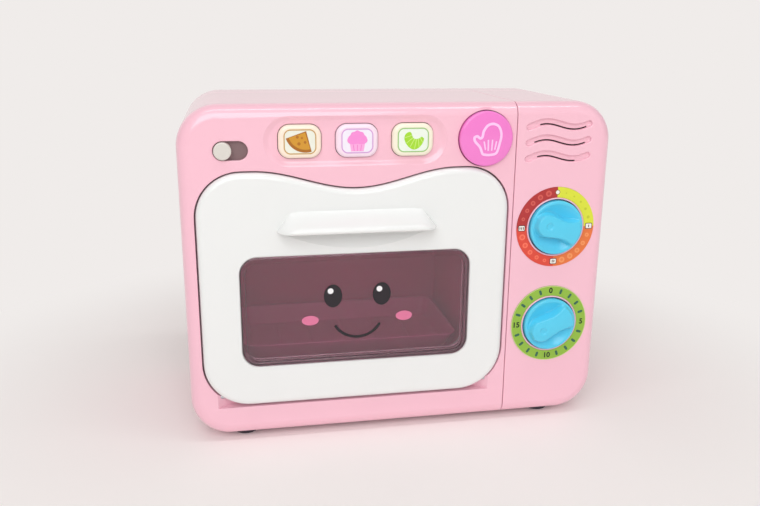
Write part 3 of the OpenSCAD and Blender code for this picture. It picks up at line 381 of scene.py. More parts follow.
def mouldedSkinGroup():
    # colour, gloss and height of a moulded or printed skin, on the piece's own coordinates
    group = bpy.data.node_groups.new("mouldedSkin", "ShaderNodeTree")
    face = group.interface
    face.new_socket(name="Color", in_out="INPUT", socket_type="NodeSocketColor")
    for name in ("Variation", "Clouds", "Grain", "Gloss", "GlossSpread"):
        face.new_socket(name=name, in_out="INPUT", socket_type="NodeSocketFloat")
    for name, kind in (("Color", "Color"), ("Roughness", "Float"), ("Height", "Float")):
        face.new_socket(name=name, in_out="OUTPUT", socket_type="NodeSocket" + kind)
    tree, link = group.nodes, group.links.new
    given, out = tree.new("NodeGroupInput"), tree.new("NodeGroupOutput")
    place = tree.new("ShaderNodeTexCoord")

    def noise(scale, detail):
        node = tree.new("ShaderNodeTexNoise")
        node.inputs["Detail"].default_value = detail
        link(place.outputs["Object"], node.inputs["Vector"])
        link(scale, node.inputs["Scale"])
        return node.outputs["Fac"]

    def maths(kind, a, b):
        return mathsNode(tree, link, kind, a, b)

    clouds = noise(given.outputs["Clouds"], 3)
    shade = maths("ADD", maths("MULTIPLY", maths("SUBTRACT", clouds, 0.5), given.outputs["Variation"]), 1)
    tint = tree.new("ShaderNodeHueSaturation")
    link(given.outputs["Color"], tint.inputs["Color"])
    link(shade, tint.inputs["Value"])
    link(tint.outputs["Color"], out.inputs["Color"])
    handled = noise(maths("MULTIPLY", given.outputs["Clouds"], 3.7), 4)
    fine = noise(given.outputs["Grain"], 2)
    spread = maths("MULTIPLY", maths("SUBTRACT", handled, 0.5), given.outputs["GlossSpread"])
    link(maths("ADD", given.outputs["Gloss"], spread), out.inputs["Roughness"])
    link(maths("ADD", maths("MULTIPLY", fine, 0.35), maths("MULTIPLY", handled, 0.65)), out.inputs["Height"])
    return group


skinGroup = mouldedSkinGroup()


def startSkin(name, color, variation, clouds, grain, gloss, spread):
    # material whose colour (0 to 255) and roughness come from the shared group
    material = bpy.data.materials.new(name)
    tree, link = treeOf(material)
    shader, group = tree["Principled BSDF"], tree.new("ShaderNodeGroup")
    group.node_tree = skinGroup
    setInputs(group, {"Color": srgb(*color), "Variation": variation, "Clouds": clouds, "Grain": grain,
                      "Gloss": gloss, "GlossSpread": spread})
    link(group.outputs["Color"], shader.inputs["Base Color"])
    link(group.outputs["Roughness"], shader.inputs["Roughness"])
    return material, tree, link, shader, group


def skin(name, color, gloss=0.28, variation=0.05, clouds=14, grain=1500, spread=0.08, bump=0.02,
         coat=0.0, specular=0.5, metal=0.0):
    material, tree, link, shader, group = startSkin(name, color, variation, clouds, grain, gloss, spread)
    bumps = tree.new("ShaderNodeBump")
    setInputs(bumps, {"Strength": bump, "Distance": 0.0004})
    link(group.outputs["Height"], bumps.inputs["Height"])
    link(bumps.outputs["Normal"], shader.inputs["Normal"])
    setInputs(shader, {"Coat Weight": coat, "Coat Roughness": 0.05, "Specular IOR Level": specular,
                       "Metallic": metal})
    return material


finish = {
    "pink": skin("housingPink", (249, 195, 211), variation=0.04, spread=0, bump=0.004, coat=0.65),
    "white": skin("doorWhite", (238, 240, 239), 0.26, variation=0.03, spread=0, bump=0.004, coat=0.4),
    "magenta": skin("cavityMagenta", (235, 80, 150), gloss=0.3),
    "tray": skin("trayPink", (240, 130, 185), gloss=0.3),
    "blue": skin("knobBlue", (84, 209, 243), gloss=0.3, spread=0, bump=0.008, coat=0.3),
    "mitt": skin("mittPink", (245, 128, 209), gloss=0.25, spread=0, bump=0.008, coat=0.5),
    "cream": skin("capCream", (252, 236, 216), gloss=0.24, coat=0.2),
    "lilac": skin("capLilac", (250, 228, 242), gloss=0.24, coat=0.2),
    "lime": skin("capLime", (248, 242, 220), gloss=0.24, coat=0.2),
    "switch": skin("switchWhite", (220, 216, 208), gloss=0.3),
    # slide plate: its own grey-mauve, darkened with painted shade for the shadow inside the switch slot
    "plate": skin("slidePlate", (132, 108, 110), gloss=0.4),
    "rubber": skin("footRubber", (72, 66, 76), gloss=0.75, variation=0.2, bump=0.25, specular=0.25),
    "pad": skin("padRubber", (205, 205, 210), gloss=0.7, variation=0.1, bump=0.2),
    "steel": skin("zincSteel", (196, 198, 202), gloss=0.32, variation=0.12, metal=1.0, spread=0.2),
    "grey": skin("greyMoulding", (96, 96, 100), gloss=0.5),
    "black": skin("blackMoulding", (40, 40, 42), gloss=0.5),
    "board": skin("boardGreen", (40, 120, 66), gloss=0.4, variation=0.15),
    "cell": skin("cellSleeve", (60, 110, 70), gloss=0.35, variation=0.1),
    "paper": skin("conePaper", (70, 66, 62), gloss=0.85, variation=0.25, bump=0.5),
    "lens": skin("lampLens", (255, 236, 206), gloss=0.35),
    "red": skin("wireRed", (205, 40, 40), gloss=0.45),
    "wire": skin("wireWhite", (228, 228, 224), gloss=0.45),
}
inks = {}


def ink(r, g, b):
    key = "ink_%d_%d_%d" % (r, g, b)
    if key not in inks:
        inks[key] = skin(key, (r, g, b), 0.42, 0.06, clouds=120, grain=2600, spread=0.1, bump=0.08)
    return inks[key]


def tintedSheet():
    # mauve clear plastic with a faint haze
    parts = startSkin("windowMauve", (226, 196, 208), 0.04, 9, 1200, 0.06, 0.05)
    setInputs(parts[3], {"Transmission Weight": 0.93, "IOR": 1.45})
    return parts[0]


finish["window"] = tintedSheet()


def paint(obj, material):
    obj.data.materials.clear()
    obj.data.materials.append(material)


def dress(obj, material, body, *replaced, slot=None):
    # material is None where the parts of the piece have theirs
    if material:
        paint(obj, material)
    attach(obj, body)
    if replaced:
        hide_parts(*replaced)
    return obj


print("materials ready")


# housing shells
housing = {
    "width": 280, "height": 218, "front": -57, "split": 41, "back": 75, "base": 4,
    "corner": 26, "edge": 9, "wall": 2.4, "seam": 73.3, "seamGap": 0.4, "seamRound": 0.5, "splitRound": 0.6,
}
door = {
    "x": -30.5, "z": 26.5, "width": 200, "height": 154.5, "dip": 11.6, "crest": 65, "topRound": 28,
    "bottomRound": 30, "front": -59.5, "back": -45.5, "edge": 4, "gap": 0.8, "wall": 2.4,
    "hingeY": -53.8, "hingeZ": 32.2, "barrel": 8.3, "wellHalf": 93, "wellGap": 1.6, "wellTop": 9.7,
}
pocketBack = -44.7
middleZ = housing["base"] + housing["height"] / 2


def housingLoop(inset):
    return roundedLoop(0, middleZ, housing["width"] - 2 * inset, housing["height"] - 2 * inset,
                       housing["corner"] - inset, 20)


def doorLoop(grow=0.0):
    side, top, low = door["width"] / 2, door["topRound"], door["bottomRound"]
    high = door["height"] - top

    def crestPoint(x):
        wave = math.pi * x / door["crest"]
        z = door["height"] - door["dip"] / 2 * (1 + math.cos(wave))
        slope = door["dip"] / 2 * math.pi / door["crest"] * math.sin(wave)
        n = math.hypot(1, slope)
        return x - grow * slope / n, z + grow / n

    loop = arcPoints(side - low, low, low + grow, -90, 0, 16)
    loop += arcPoints(side - top, high, top + grow, 0, 90, 16)
    loop += [crestPoint(door["crest"] * (1 - i / 24)) for i in range(49)]
    loop += arcPoints(top - side, high, top + grow, 90, 180, 16)
    loop += arcPoints(low - side, low, low + grow, 180, 270, 16)
    return moved(tidyLoop(loop), door["x"], door["z"])


def trimAt(obj, x, side, rim):
    # cuts a shell off at x, keeps the part on the given side and rounds the new edge
    cutX = x + side * rim
    openShape(obj)
    markAll()
    bpy.ops.mesh.bisect(plane_co=(cutX * mm, 0, 0), plane_no=(-side, 0, 0), use_fill=True, clear_outer=True)
    bpy.ops.mesh.select_mode(type="FACE")
    markNone()
    pickFaces(lambda c, n: n.x * side < -0.9 and abs(c.x - cutX) < 0.01)
    shapeCap(roundOver(rim, 3))
    closeShape()


def frontShell(name, side):
    outer = softSolid(name, housingLoop(0), housing["front"], housing["split"], housing["edge"],
                      housing["splitRound"], 10)
    trimAt(outer, housing["seam"] + side * housing["seamGap"] / 2, side, housing["seamRound"])
    wall = housing["wall"]
    inner = softSolid("hollow", housingLoop(wall), housing["front"] + wall, housing["split"] + 20,
                      housing["edge"] - wall, 0, 8)
    return combine(outer, inner)


def wellCutter():
    # room under the door for its lower edge, whose round corners swing in as it opens
    half, r, low = door["wellHalf"], door["bottomRound"], door["z"] - door["wellGap"]
    flat = door["width"] / 2 - r
    loop = [(-half, housing["front"] - 3), (half, housing["front"] - 3)]
    curve = [half - (half - flat) * i / 20 for i in range(21)]
    for x in curve + [-x for x in curve[::-1]]:
        rise = r - math.sqrt(r * r - max(0, abs(x) - flat) ** 2)
        loop.append((x, door["hingeY"] + door["hingeZ"] - door["z"] - rise + door["gap"]))
    tool = softSolid("wellCut", moved(loop, door["x"], 0), -door["z"] - door["wellTop"], -low)
    tool.data.transform(Matrix.Rotation(-math.pi / 2, 4, "X"))
    return tool


recess = {"width": 111, "height": 27.3, "z": 199.5, "depth": 1.7, "slope": 4.4, "reach": 2.1}
capButton = {"pitch": 35.3, "width": 26.4, "height": 20.5, "round": 7, "front": -58.5, "back": -50.5,
             "clear": 0.4, "z": 199.5}
mitt = {"x": 52.3, "z": 199.5, "r": 17.5, "front": -61, "back": -49.5, "clear": 0.4, "guide": 5.7, "crown": 1}
slide = {"slotX": -107.8, "slotZ": 194.5, "width": 21, "height": 11.6, "nubX": -112.5, "nub": 5.4,
         "front": -59}
cavity = {"x": -30.5, "z": 93.5, "width": 158, "height": 100, "round": 9, "front": -42.3, "back": 47.7,
          "wall": 2, "rail": 37, "lampY": 3.7, "lampR": 7}


def buildMainHousing():
    shell = frontShell("mainHousing", -1)
    front, wall, x, z = housing["front"], housing["wall"], door["x"], recess["z"]
    half, low, bend = door["wellHalf"] + wall, door["z"] - door["wellGap"] - wall, recess["height"] / 2
    start, behind = front + wall / 2, roundedLoop(x, z, recess["width"] + wall, recess["height"] + wall, bend)
    guide = circleLoop(mitt["x"], mitt["z"], mitt["r"] + 2)
    for backing in (softSolid("pocketWall", doorLoop(door["gap"] + wall), start, pocketBack + wall),
                    softSolid("recessWall", behind, start, front + recess["depth"] + wall),
                    softSolid("mittWall", guide, start, front + mitt["guide"]),
                    softBox("wellWall", (x - half, start - 0.1, low),
                            (x + half, pocketBack + wall - 0.1, door["z"] + door["wellTop"] + wall))):
        combine(shell, backing, "UNION")
    grown, first = recess["reach"] * 2, 0.14
    hollow = layLoop("recessCut", roundedLoop(x, z, recess["width"] + grown, recess["height"] + grown,
                                              bend + recess["reach"], 24), front - 1, 1)
    pull(1 + recess["depth"] * ease(0, 1, first))
    shapeCap(gentleSlope(recess["slope"], recess["depth"], first))
    closeShape()
    mittRoom = circleLoop(mitt["x"], mitt["z"], mitt["r"] + mitt["clear"] + 0.4)
    slot = roundedLoop(slide["slotX"], slide["slotZ"], slide["width"] + 1, slide["height"] + 1,
                       slide["height"] / 2 + 0.5)
    through = front + 14
    holes = [flaredCutter("pocketCut", doorLoop(door["gap"] + 0.6), front, pocketBack, 0.6),
             wellCutter(), hollow,
             flaredCutter("mittCut", mittRoom, front, through, 0.4, 4),
             flaredCutter("slotCut", slot, front, front + 4, 0.5, 4),
             softSolid("cavityCut", plateLoop(cavity), pocketBack - 2, pocketBack + 6)]
    for i in (-1, 0, 1):
        room = plateLoop(capButton, capButton["clear"], 10, x + i * capButton["pitch"])
        holes.append(softSolid("capCut", room, front - 1, front + 8))
    for hole in holes:
        combine(shell, hole)
    return dress(smooth(shell), finish["pink"], "housing", "main_housing", slot="housing_pink")


dial = {
    "x": 103.6, "temperatureZ": 139.5, "timerZ": 71, "temperatureTurn": 163, "timerTurn": 206,
    "ringOuter": 27.2, "ringInner": 20.2, "ringMiddle": 23.7, "ringFront": -57.3, "ringBack": -56.5,
    "well": 5, "lip": 0.7, "knob": 18.3, "knobGap": 0.6, "rimFront": -60.2, "bar": 5, "dish": 4.3,
    "dishR": 16.4, "head": 7.6, "headR": 8, "waist": 6.6, "far": 8.8, "length": 22, "gripR": 15.4,
}
vent = {"x": 80.75, "z": 184.5, "pitch": 10.3, "width": 42.5, "height": 4.4, "wave": 2.4, "slit": 0.85,
        "slitLow": -0.05, "depth": 1.9, "slits": ((0.18, 0.79), (0.12, 0.93), (0.2, 0.93))}


def ventPath(i, start=0.0, end=1.0, shift=0.0, steps=28):
    path = []
    for k in range(steps + 1):
        t = start + (end - start) * k / steps
        rise = t + math.sin(math.radians(360 * t - 11)) + 0.5
        path.append((vent["width"] * t, vent["wave"] * rise))
    return moved(offsetPath(path, shift), vent["x"], vent["z"] + i * vent["pitch"])


def dialCircle(z, r, steps=96):
    return circleLoop(dial["x"], z, r, steps)


def buildControlHousing():
    shell = frontShell("controlHousing", 1)
    front, wall, room = housing["front"], housing["wall"], dial["knob"] + dial["knobGap"]
    lip, bottom, inner = front - dial["lip"], front + dial["well"], dial["ringInner"]
    for z in (dial["timerZ"], dial["temperatureZ"]):
        for backing in (softSolid("dialWall", dialCircle(z, room + 1.6), front + wall / 2, bottom + wall),
                        softSolid("dialLip", dialCircle(z, inner - 0.15), lip, front + 1, 0.5)):
            combine(shell, backing, "UNION")
    grooves, deep = [], []
    for i in range(3):
        outline = strokeLoop(ventPath(i, 0.02, 0.98), vent["height"] + 0.6, 14)
        grooves.append(flaredCutter("groove", outline, front, front + vent["depth"], 0.5, 4, 1.3))
        slit = ventPath(i, *vent["slits"][i], vent["slitLow"] - vent["height"] / 2 + vent["slit"])
        deep.append(softSolid("slit", strokeLoop(slit, vent["slit"], 6), front - 1, front + wall + 2))
    for z in (dial["timerZ"], dial["temperatureZ"]):
        seat = softSolid("ringSeat", dialCircle(z, dial["ringOuter"] + 0.1), front - 1, dial["ringBack"])
        grooves.append(combine(seat, softSolid("ringKeep", dialCircle(z, inner - 0.1), front - 2, front + 2)))
        deep.append(flaredCutter("dialWell", dialCircle(z, room + 0.5), lip, bottom, 0.5, 4, 0.5))
    combine(shell, grooves)
    combine(shell, deep)
    return dress(smooth(shell), finish["pink"], "housing", "control_housing", slot="housing_pink")


bay = {"x": -30.5, "z": 101, "width": 57, "height": 56.6, "round": 3, "play": 0.3, "screwZ": 124.3,
       "notchZ": 79.3, "seat": 72.6, "depth": 68}
bosses = ((-116, 207.5), (-122, 16.5), (61.3, 16.5), (122, 16.5), (85.3, 16.5), (125.5, 198))


def backCutter(name, loop, end, flare, steps=3):
    return flaredCutter(name, loop, housing["back"], end, flare, steps, towards=-1)


def buildRearCover():
    split, back, wall, edge = housing["split"], housing["back"], housing["wall"], housing["edge"]
    shell = softSolid("rearCover", housingLoop(0), split, back, housing["splitRound"], edge, 16)
    combine(shell, softSolid("rearHollow", housingLoop(wall), split - 10, back - wall, 0, edge - wall, 12))
    tubes = [softSolid("tube", circleLoop(x, z, 4.6, 32), 47, back - wall / 2) for x, z in bosses]
    combine(shell, tubes, "UNION")
    holes = [backCutter("screwHole", circleLoop(x, z, 3.2 + 0.6, 32), 49.4, 0.6, 4) for x, z in bosses]
    combine(shell, holes + [backCutter("bayCut", plateLoop(bay, 0.4, 8), bay["depth"], 0.4)])
    return dress(smooth(shell), finish["pink"], "housing", "rear_cover", slot="housing_pink")


def buildBatteryCover():
    x, z = bay["x"], bay["notchZ"]
    cover = softSolid("batteryCover", plateLoop(bay, -bay["play"], 8), bay["seat"], housing["back"], 0, 0.4)
    cuts = [backCutter("coverHole", circleLoop(x, bay["screwZ"], 3.1 + 0.4, 32), 73, 0.4),
            backCutter("thumbNotch", roundedLoop(x, z, 17, 6, 3, 10), 74, 0.5)]
    for i in range(4):  # grip lines above the notch
        line = roundedLoop(x, z + 7 + i * 3, 20 - 3 * i, 1.2, 0.6, 6)
        cuts.append(backCutter("gripLine", line, 74.5, 0.25, 2))
    combine(cover, cuts)
    return dress(smooth(cover), finish["pink"], "housing", "battery_cover", slot="housing_pink")


buildMainHousing()
buildControlHousing()
buildRearCover()
buildBatteryCover()
print("housing shells ready")


# feet
foot = {"x": 105, "y": (-39, 57), "r": 8, "height": 4, "round": 0.8, "plug": 2.5}


def buildFeet():
    parts = []
    for sx in (-1, 1):
        for y in foot["y"]:
            obj = addShape(bpy.ops.mesh.primitive_cylinder_add, "foot", vertices=64, radius=foot["r"] * mm,
                           depth=foot["height"] * mm,
                           location=(sx * foot["x"] * mm, y * mm, foot["height"] / 2 * mm))
            openShape(obj)
            pickFaces(lambda c, n: n.z < -0.9)
            roundEdges(foot["round"], 4)
            markNone()
            pickFaces(lambda c, n: n.z < -0.9 and abs(c.z) < 0.01)
            shapeCap([(2.2, 0), (0.5, -0.6)])
            markNone()
            pickFaces(lambda c, n: n.z > 0.9)
            shapeCap([(foot["r"] - foot["plug"], 0)])
            pull(0, housing["wall"])
            closeShape()
            parts.append(obj)
    feet = joinAll(parts)
    feet.name = "rubberFeet"
    return dress(smooth(feet), finish["rubber"], "housing", "feet", slot="foot_rubber")


buildFeet()


# door
handle = {"z": 144.5, "height": 13, "lip": 102, "taper": 10, "ridge": 82, "out": 15.6, "r": 1.7, "sunk": 0.3}
scoop = {"drop": 12.8, "ball": 200}
pane = {"x": -30.5, "z": 90.8, "width": 149.5, "height": 73.4, "round": 11, "sheet": 2, "front": -59.1,
        "lipFront": -60.1, "lip": 3, "flange": 4, "play": 0.4}


def sideSolid(name, loop, left, right):
    # loop is given as points of Y and Z, and the solid runs along X
    obj = softSolid(name, loop, -right, -left)
    obj.data.transform(Matrix.Rotation(math.pi / 2, 4, "Z"))
    return obj


def scoopCutter(grow=0.0):
    x, half, drop, ball = door["x"], handle["lip"] / 2, scoop["drop"], scoop["ball"]
    faceR = (half * half + drop * drop) / (2 * drop)
    off = math.sqrt(ball * ball - faceR * faceR)
    ball += grow
    start = math.sqrt(ball * ball - off * off)
    middle = handle["z"] - drop + faceR
    radii = [start - i * start / 30 for i in range(30)]
    depths = [math.sqrt(ball * ball - r * r) - off for r in radii]
    obj = layLoop("scoopCut", circleLoop(x, middle, start, 240), door["front"] - 2, 1)
    pull(2)
    shapeCap([(a - b, e - d) for a, b, d, e in zip(radii, radii[1:], depths, depths[1:])])
    closeShape()
    keep = softBox("scoopKeep", (x - half - grow, door["front"] - 5, handle["z"] - 40),
                   (x + half + grow, door["back"] + 20, handle["z"] + (0.01 if grow else 0)))
    return combine(obj, keep, "INTERSECT")


def gripPoint(u, v):
    # reach, rise and half length on the grip: under side, nose, then a crown that runs out on the door
    r, high, reach = handle["r"], handle["height"], handle["out"]
    if v < 0.2:
        far, rise = (reach - r) * v / 0.2, 0
    elif v < 0.45:
        a = (v - 0.2) / 0.25 * math.pi / 2
        far, rise = reach - r + r * math.sin(a), r - r * math.cos(a)
    else:
        t = (v - 0.45) / 0.55
        far, rise = reach * (1 + math.cos(math.pi * t)) / 2, r + (high - r) * t
    half = (handle["lip"] + (handle["ridge"] - handle["lip"]) * rise / high) / 2
    turn = max(0, abs(u) - 0.7) / 0.3 * math.pi / 2
    along = min(1, abs(u) / 0.7) * (half - handle["taper"]) + handle["taper"] * math.sin(turn)
    return far * math.cos(turn), rise, math.copysign(along, u)


def buildHandle():
    # a grid is wrapped over the grip, closed behind and sunk into the door's skin
    obj = addShape(bpy.ops.mesh.primitive_grid_add, "handle", x_subdivisions=90, y_subdivisions=36, size=2)
    for vertex in obj.data.vertices:
        far, rise, along = gripPoint(vertex.co.x, (vertex.co.y + 1) / 2)
        place = (door["x"] + along, door["front"] + handle["sunk"] - far, handle["z"] + rise)
        vertex.co = [p * mm for p in place]
    openShape(obj, "VERT")
    markAll()
    bpy.ops.mesh.remove_doubles(threshold=0.01 * mm)
    markNone()
    bpy.ops.mesh.select_non_manifold()
    bpy.ops.mesh.edge_face_add()
    pull(0.9)
    markAll()
    bpy.ops.mesh.normals_make_consistent(inside=False)
    closeShape()
    return obj


def buildDoor():
    front, back, skinY, behind = door["front"], door["back"], door["front"] + door["wall"], door["back"] + 4
    shell = softSolid("doorShell", doorLoop(), front, back, door["edge"], 0.5, 9)
    y, z, r = door["hingeY"], door["hingeZ"], door["barrel"]
    keep = sideSolid("hingeKeep", tidyLoop([(-90, 300), (-90, z)] + arcPoints(y, z, r, 180, 360, 32)
                                           + [(-20, z), (-20, 300)]), -150, 90)
    combine(shell, keep, "INTERSECT")
    combine(shell, buildHandle(), "UNION")
    hollow = softSolid("doorHollow", doorLoop(-door["wall"]), skinY, behind, 2, 0, 4)
    combine(hollow, softBox("hingeBlock", (-140, -80, 0), (80, -20, 36)))
    combine(hollow, scoopCutter(door["wall"]))
    seat = softSolid("panelSeat", doorLoop(-door["wall"]), back - 2.1, behind)
    combine(seat, softBox("seatTrim", (-140, -80, 0), (80, -20, 32.6)))
    rim = 1.1
    for hole in (hollow, seat, softSolid("flangeSeat", plateLoop(pane, pane["flange"] + 0.1), skinY, behind),
                 flaredCutter("windowCut", plateLoop(pane, rim), front, behind, rim), scoopCutter()):
        combine(shell, hole)
    return dress(smooth(shell, 40), finish["white"], "door", "door_shell", slot="door_white")


def buildWindow():
    play, rim, back = pane["play"], 0.6, pane["front"] + pane["sheet"]
    sheet = softSolid("doorWindow", plateLoop(pane, -play, 14), pane["lipFront"], back, 0.7, 0, 5)
    combine(sheet, flaredCutter("sheetCut", plateLoop(pane, rim - play - pane["lip"], 14), pane["lipFront"],
                                pane["front"], rim, 4))
    flange = ringSolid("paneFlange", plateLoop(pane, pane["flange"]), 8, back - 0.01, back + pane["sheet"])
    combine(sheet, flange, "UNION")
    return dress(smooth(sheet), finish["window"], "door", "door_window", slot="window_mauve")


def ringSolid(name, loop, width, front, back):
    obj = layLoop(name, loop, back, -1)
    shapeCap([(width, 0)])
    bpy.ops.mesh.delete(type="FACE")
    markAll()
    pull(front - back)
    closeShape()
    return obj


buildDoor()
buildWindow()
print("door ready")


# prints
def stamp(loop, front, material, thick=0.06, width=0):
    # thin ink layer on a surface at front; width makes it a closed line
    if width:
        obj = ringSolid("stamp", loop, width, front - thick, front + 0.02)
    else:
        obj = softSolid("stamp", loop, front - thick, front + 0.02)
    obj.data.materials.append(material)
    return obj


def printOn(name, stamps, body, slot=None):
    obj = joinAll(stamps)
    obj.name = name
    return dress(obj, None, body, slot=slot)


def ovalLoop(x, z, w, h, steps=48):
    return [(x + w / 2 * math.cos(a), z + h / 2 * math.sin(a))
            for a in (2 * math.pi * i / steps for i in range(steps))]


def curvedLoop(points, steps=8):
    # closed smooth line through the points
    loop, n = [], len(points)
    for i in range(n):
        p0, p1, p2, p3 = (points[(i + k) % n] for k in (-1, 0, 1, 2))
        for k in range(steps):
            t = k / steps
            loop.append(tuple(0.5 * (2 * b + (c - a) * t + (2 * a - 5 * b + 4 * c - d) * t * t
                                     + (3 * b - a - 3 * c + d) * t ** 3)
                              for a, b, c, d in zip(p0, p1, p2, p3)))
    return tidyLoop(loop)


smile = {"eyeSide": 16, "eyeRise": 9, "eye": 12, "eyeHigh": 15.5, "glint": 3.8, "mouth": 17, "mouthDrop": 3,
         "line": 1.9, "cheekSide": 31, "cheek": 11}


def buildSmile():
    # plain round-eyed smile
    x, z, y = pane["x"], pane["z"], pane["front"]
    black, white, blush = ink(34, 26, 34), ink(250, 248, 250), ink(226, 122, 160)
    stamps = []
    for s in (-1, 1):
        eyeX, eyeZ, cheekX = x + s * smile["eyeSide"], z + smile["eyeRise"], x + s * smile["cheekSide"]
        stamps += [stamp(ovalLoop(eyeX, eyeZ, smile["eye"], smile["eyeHigh"]), y, black),
                   stamp(circleLoop(eyeX - 1.6, eyeZ + 3.4, smile["glint"] / 2, 24), y - 0.06, white),
                   stamp(ovalLoop(cheekX, z - 7, smile["cheek"], smile["cheek"] * 0.6), y, blush)]
    mouth = arcPoints(x, z - smile["mouthDrop"], smile["mouth"], 212, 328, 28)
    stamps.append(stamp(strokeLoop(mouth, smile["line"]), y, black))
    return printOn("windowSmile", stamps, "door", "window_mauve")


buildSmile()


def buildCap(i, node, shade, field, border, picture):
    # a cap with its print, which is drawn about the origin and then set on the cap
    x, y, slot = door["x"] + i * capButton["pitch"], capButton["front"], shade + "_cap"
    cap = softSolid(node + "Cap", plateLoop(capButton, 0, 12, x), y, capButton["back"], 2.3, 0, 9)
    dress(smooth(cap), finish[shade], node, node, slot=slot)
    panel = roundedLoop(0, 0, 19.9, 15.2, 4.2, 10)
    stamps = [stamp(panel, y, field, 0.05), stamp(panel, y - 0.05, border, width=0.7)]
    obj = printOn(node + "Print", stamps + picture(y - 0.05), node, slot)
    obj.data.transform(Matrix.Translation((x * mm, 0, capButton["z"] * mm)))
    return obj


def pizzaPicture(y):
    crust, cheese, dot = ink(174, 106, 22), ink(212, 152, 42), ink(182, 112, 26)
    x, z = 3.5, 6.1  # the slice's tip
    rim, inner = arcPoints(x, z, 12.7, 198, 286, 20), arcPoints(x, z, 10.9, 199, 284, 20)
    stamps = [stamp(rim + [(x + 0.3, z + 0.4)], y, crust),
              stamp([(x - 0.3, z - 0.5)] + inner, y - 0.04, cheese, 0.05)]
    for turn, far, size in ((212, 6.0, 0.9), (240, 8.4, 1.0), (266, 6.4, 0.85), (238, 4.4, 0.7)):
        dotX, dotZ = arcPoints(x, z, far, turn, turn + 1, 1)[0]
        stamps.append(stamp(circleLoop(dotX, dotZ, size, 20), y - 0.09, dot, 0.04))
    return stamps


def cupcakePicture(y):
    top, cup, line = ink(247, 144, 216), ink(250, 172, 224), ink(240, 128, 204)
    half = [(5.0, -1.5), (6.3, 0.1), (5.6, 2.4), (4.4, 3.6), (3.5, 5.2), (1.7, 5.7)]
    dome = [(-x, z) for x, z in half] + [(0, 6.5)] + half[::-1] + [(2.5, -2.1), (0, -1.7), (-2.5, -2.1)]
    stamps = [stamp([(-4.8, -1.2), (-3.9, -6.4), (3.9, -6.4), (4.8, -1.2)], y, cup),
              stamp(curvedLoop(dome, 4), y - 0.04, top)]
    for x in (-2.5, 0, 2.5):
        stamps.append(stamp(strokeLoop([(x, -2.5), (x * 0.82, -6.0)], 0.5, 4), y - 0.06, line, 0.05))
    return stamps


def croissantPicture(y):
    dough, line = ink(166, 222, 48), ink(208, 242, 132)
    outline = [(-3.0, 5.0), (-5.2, 3.4), (-5.7, 0.6), (-4.5, -2.4), (-2.2, -4.9), (0.6, -6.0), (3.6, -4.9),
               (5.9, -2.2), (6.8, 0.6), (5.3, 1.9), (3.8, 1.0), (1.9, 0.6), (0.2, 1.1), (-0.7, 2.6),
               (-1.5, 4.6)]
    stamps = [stamp(curvedLoop(outline, 6), y, dough)]
    for fold in (((-1.2, 2.8), (-5.2, 1.6)), ((-0.3, 1.4), (-4.3, -1.8)), ((0.8, 0.7), (-2.0, -4.2)),
                 ((2.0, 0.5), (0.9, -5.3)), ((3.2, 0.7), (3.7, -4.2)), ((4.4, 1.2), (5.9, -1.5))):
        stamps.append(stamp(strokeLoop(fold, 0.45, 4), y - 0.05, line, 0.05))
    return stamps


buildCap(-1, "pizza_button", "cream", ink(238, 240, 226), ink(202, 160, 96), pizzaPicture)
buildCap(0, "cupcake_button", "lilac", ink(244, 238, 250), ink(214, 160, 218), cupcakePicture)
buildCap(1, "croissant_button", "lime", ink(238, 247, 234), ink(156, 200, 124), croissantPicture)


def buildMitt():
    # shallow dome with a soft edge
    x, z, r = mitt["x"], mitt["z"], mitt["r"]
    obj = layLoop("mittCap", circleLoop(x, z, r, 128), mitt["back"], -1)
    pull(mitt["front"] + 2.4 - mitt["back"])
    shapeCap(roundOver(1.4, 6))
    rings, crown = 10, mitt["crown"]
    radii = [(r - 1.4) * (1 - k / rings) for k in range(rings)]
    heights = [crown * (1 - (q / radii[0]) ** 2) for q in radii]
    shapeCap([(a - b, d - c) for a, b, c, d in zip(radii, radii[1:], heights, heights[1:])])
    closeShape()
    dress(smooth(obj), finish["mitt"], "mitt_button", "mitt_button", slot="mitt_pink")
    outline = [(-4.2, -8.8), (-6.0, -4.8), (-9.2, -1.2), (-9.6, 1.8), (-7.2, 3.0), (-5.0, 1.8), (-4.0, 5.6),
               (-1.2, 9.2), (2.8, 10.2), (6.8, 8.2), (8.6, 3.0), (7.6, -3.2), (5.8, -8.6), (2.0, -9.9),
               (-2.0, -9.8)]
    pale, y = ink(255, 204, 246), mitt["front"]
    stamps = [stamp(moved(curvedLoop(outline, 8), x + 0.9, z - 0.4, size=1.05), y, pale, 0.1, 1.6)]
    for stitch in (((-2.9, -1.4), (-1.9, -6.0)), ((-0.2, -0.4), (0.0, -6.6)), ((2.5, -0.4), (2.3, -6.6)),
                   ((5.2, -1.4), (4.4, -6.0))):
        stamps.append(stamp(moved(strokeLoop(stitch, 0.95, 6), x + 0.8, z - 0.4), y, pale, 0.1))
    obj = joinAll(stamps)
    for vertex in obj.data.vertices:  # the print follows the dome
        q = math.hypot(vertex.co.x / mm - x, vertex.co.z / mm - z) / radii[0]
        vertex.co.y += crown * min(1, q * q) * mm
    return printOn("mittPrint", [obj], "mitt_button", "mitt_pink")


buildMitt()


def buildSwitch():
    x, z, front = slide["nubX"], slide["slotZ"], housing["front"]
    nub = softSolid("switchNub", circleLoop(x, z, slide["nub"], 64), slide["front"], front + 2.9, 0.9, 0, 5)
    plate = softSolid("slidePlate", roundedLoop(x, z, 31, 14.6, 2, 6), front + 2.7, front + 4.3)
    # the plate's grey carries painted shade for the shadow in the slot
    plate.data.materials.append(finish["plate"])
    nub.data.materials.append(finish["switch"])
    smooth(nub)
    return dress(joinAll([nub, plate]), None, "power_switch", "switch_slider", slot="switch_white")


buildSwitch()
print("buttons ready")


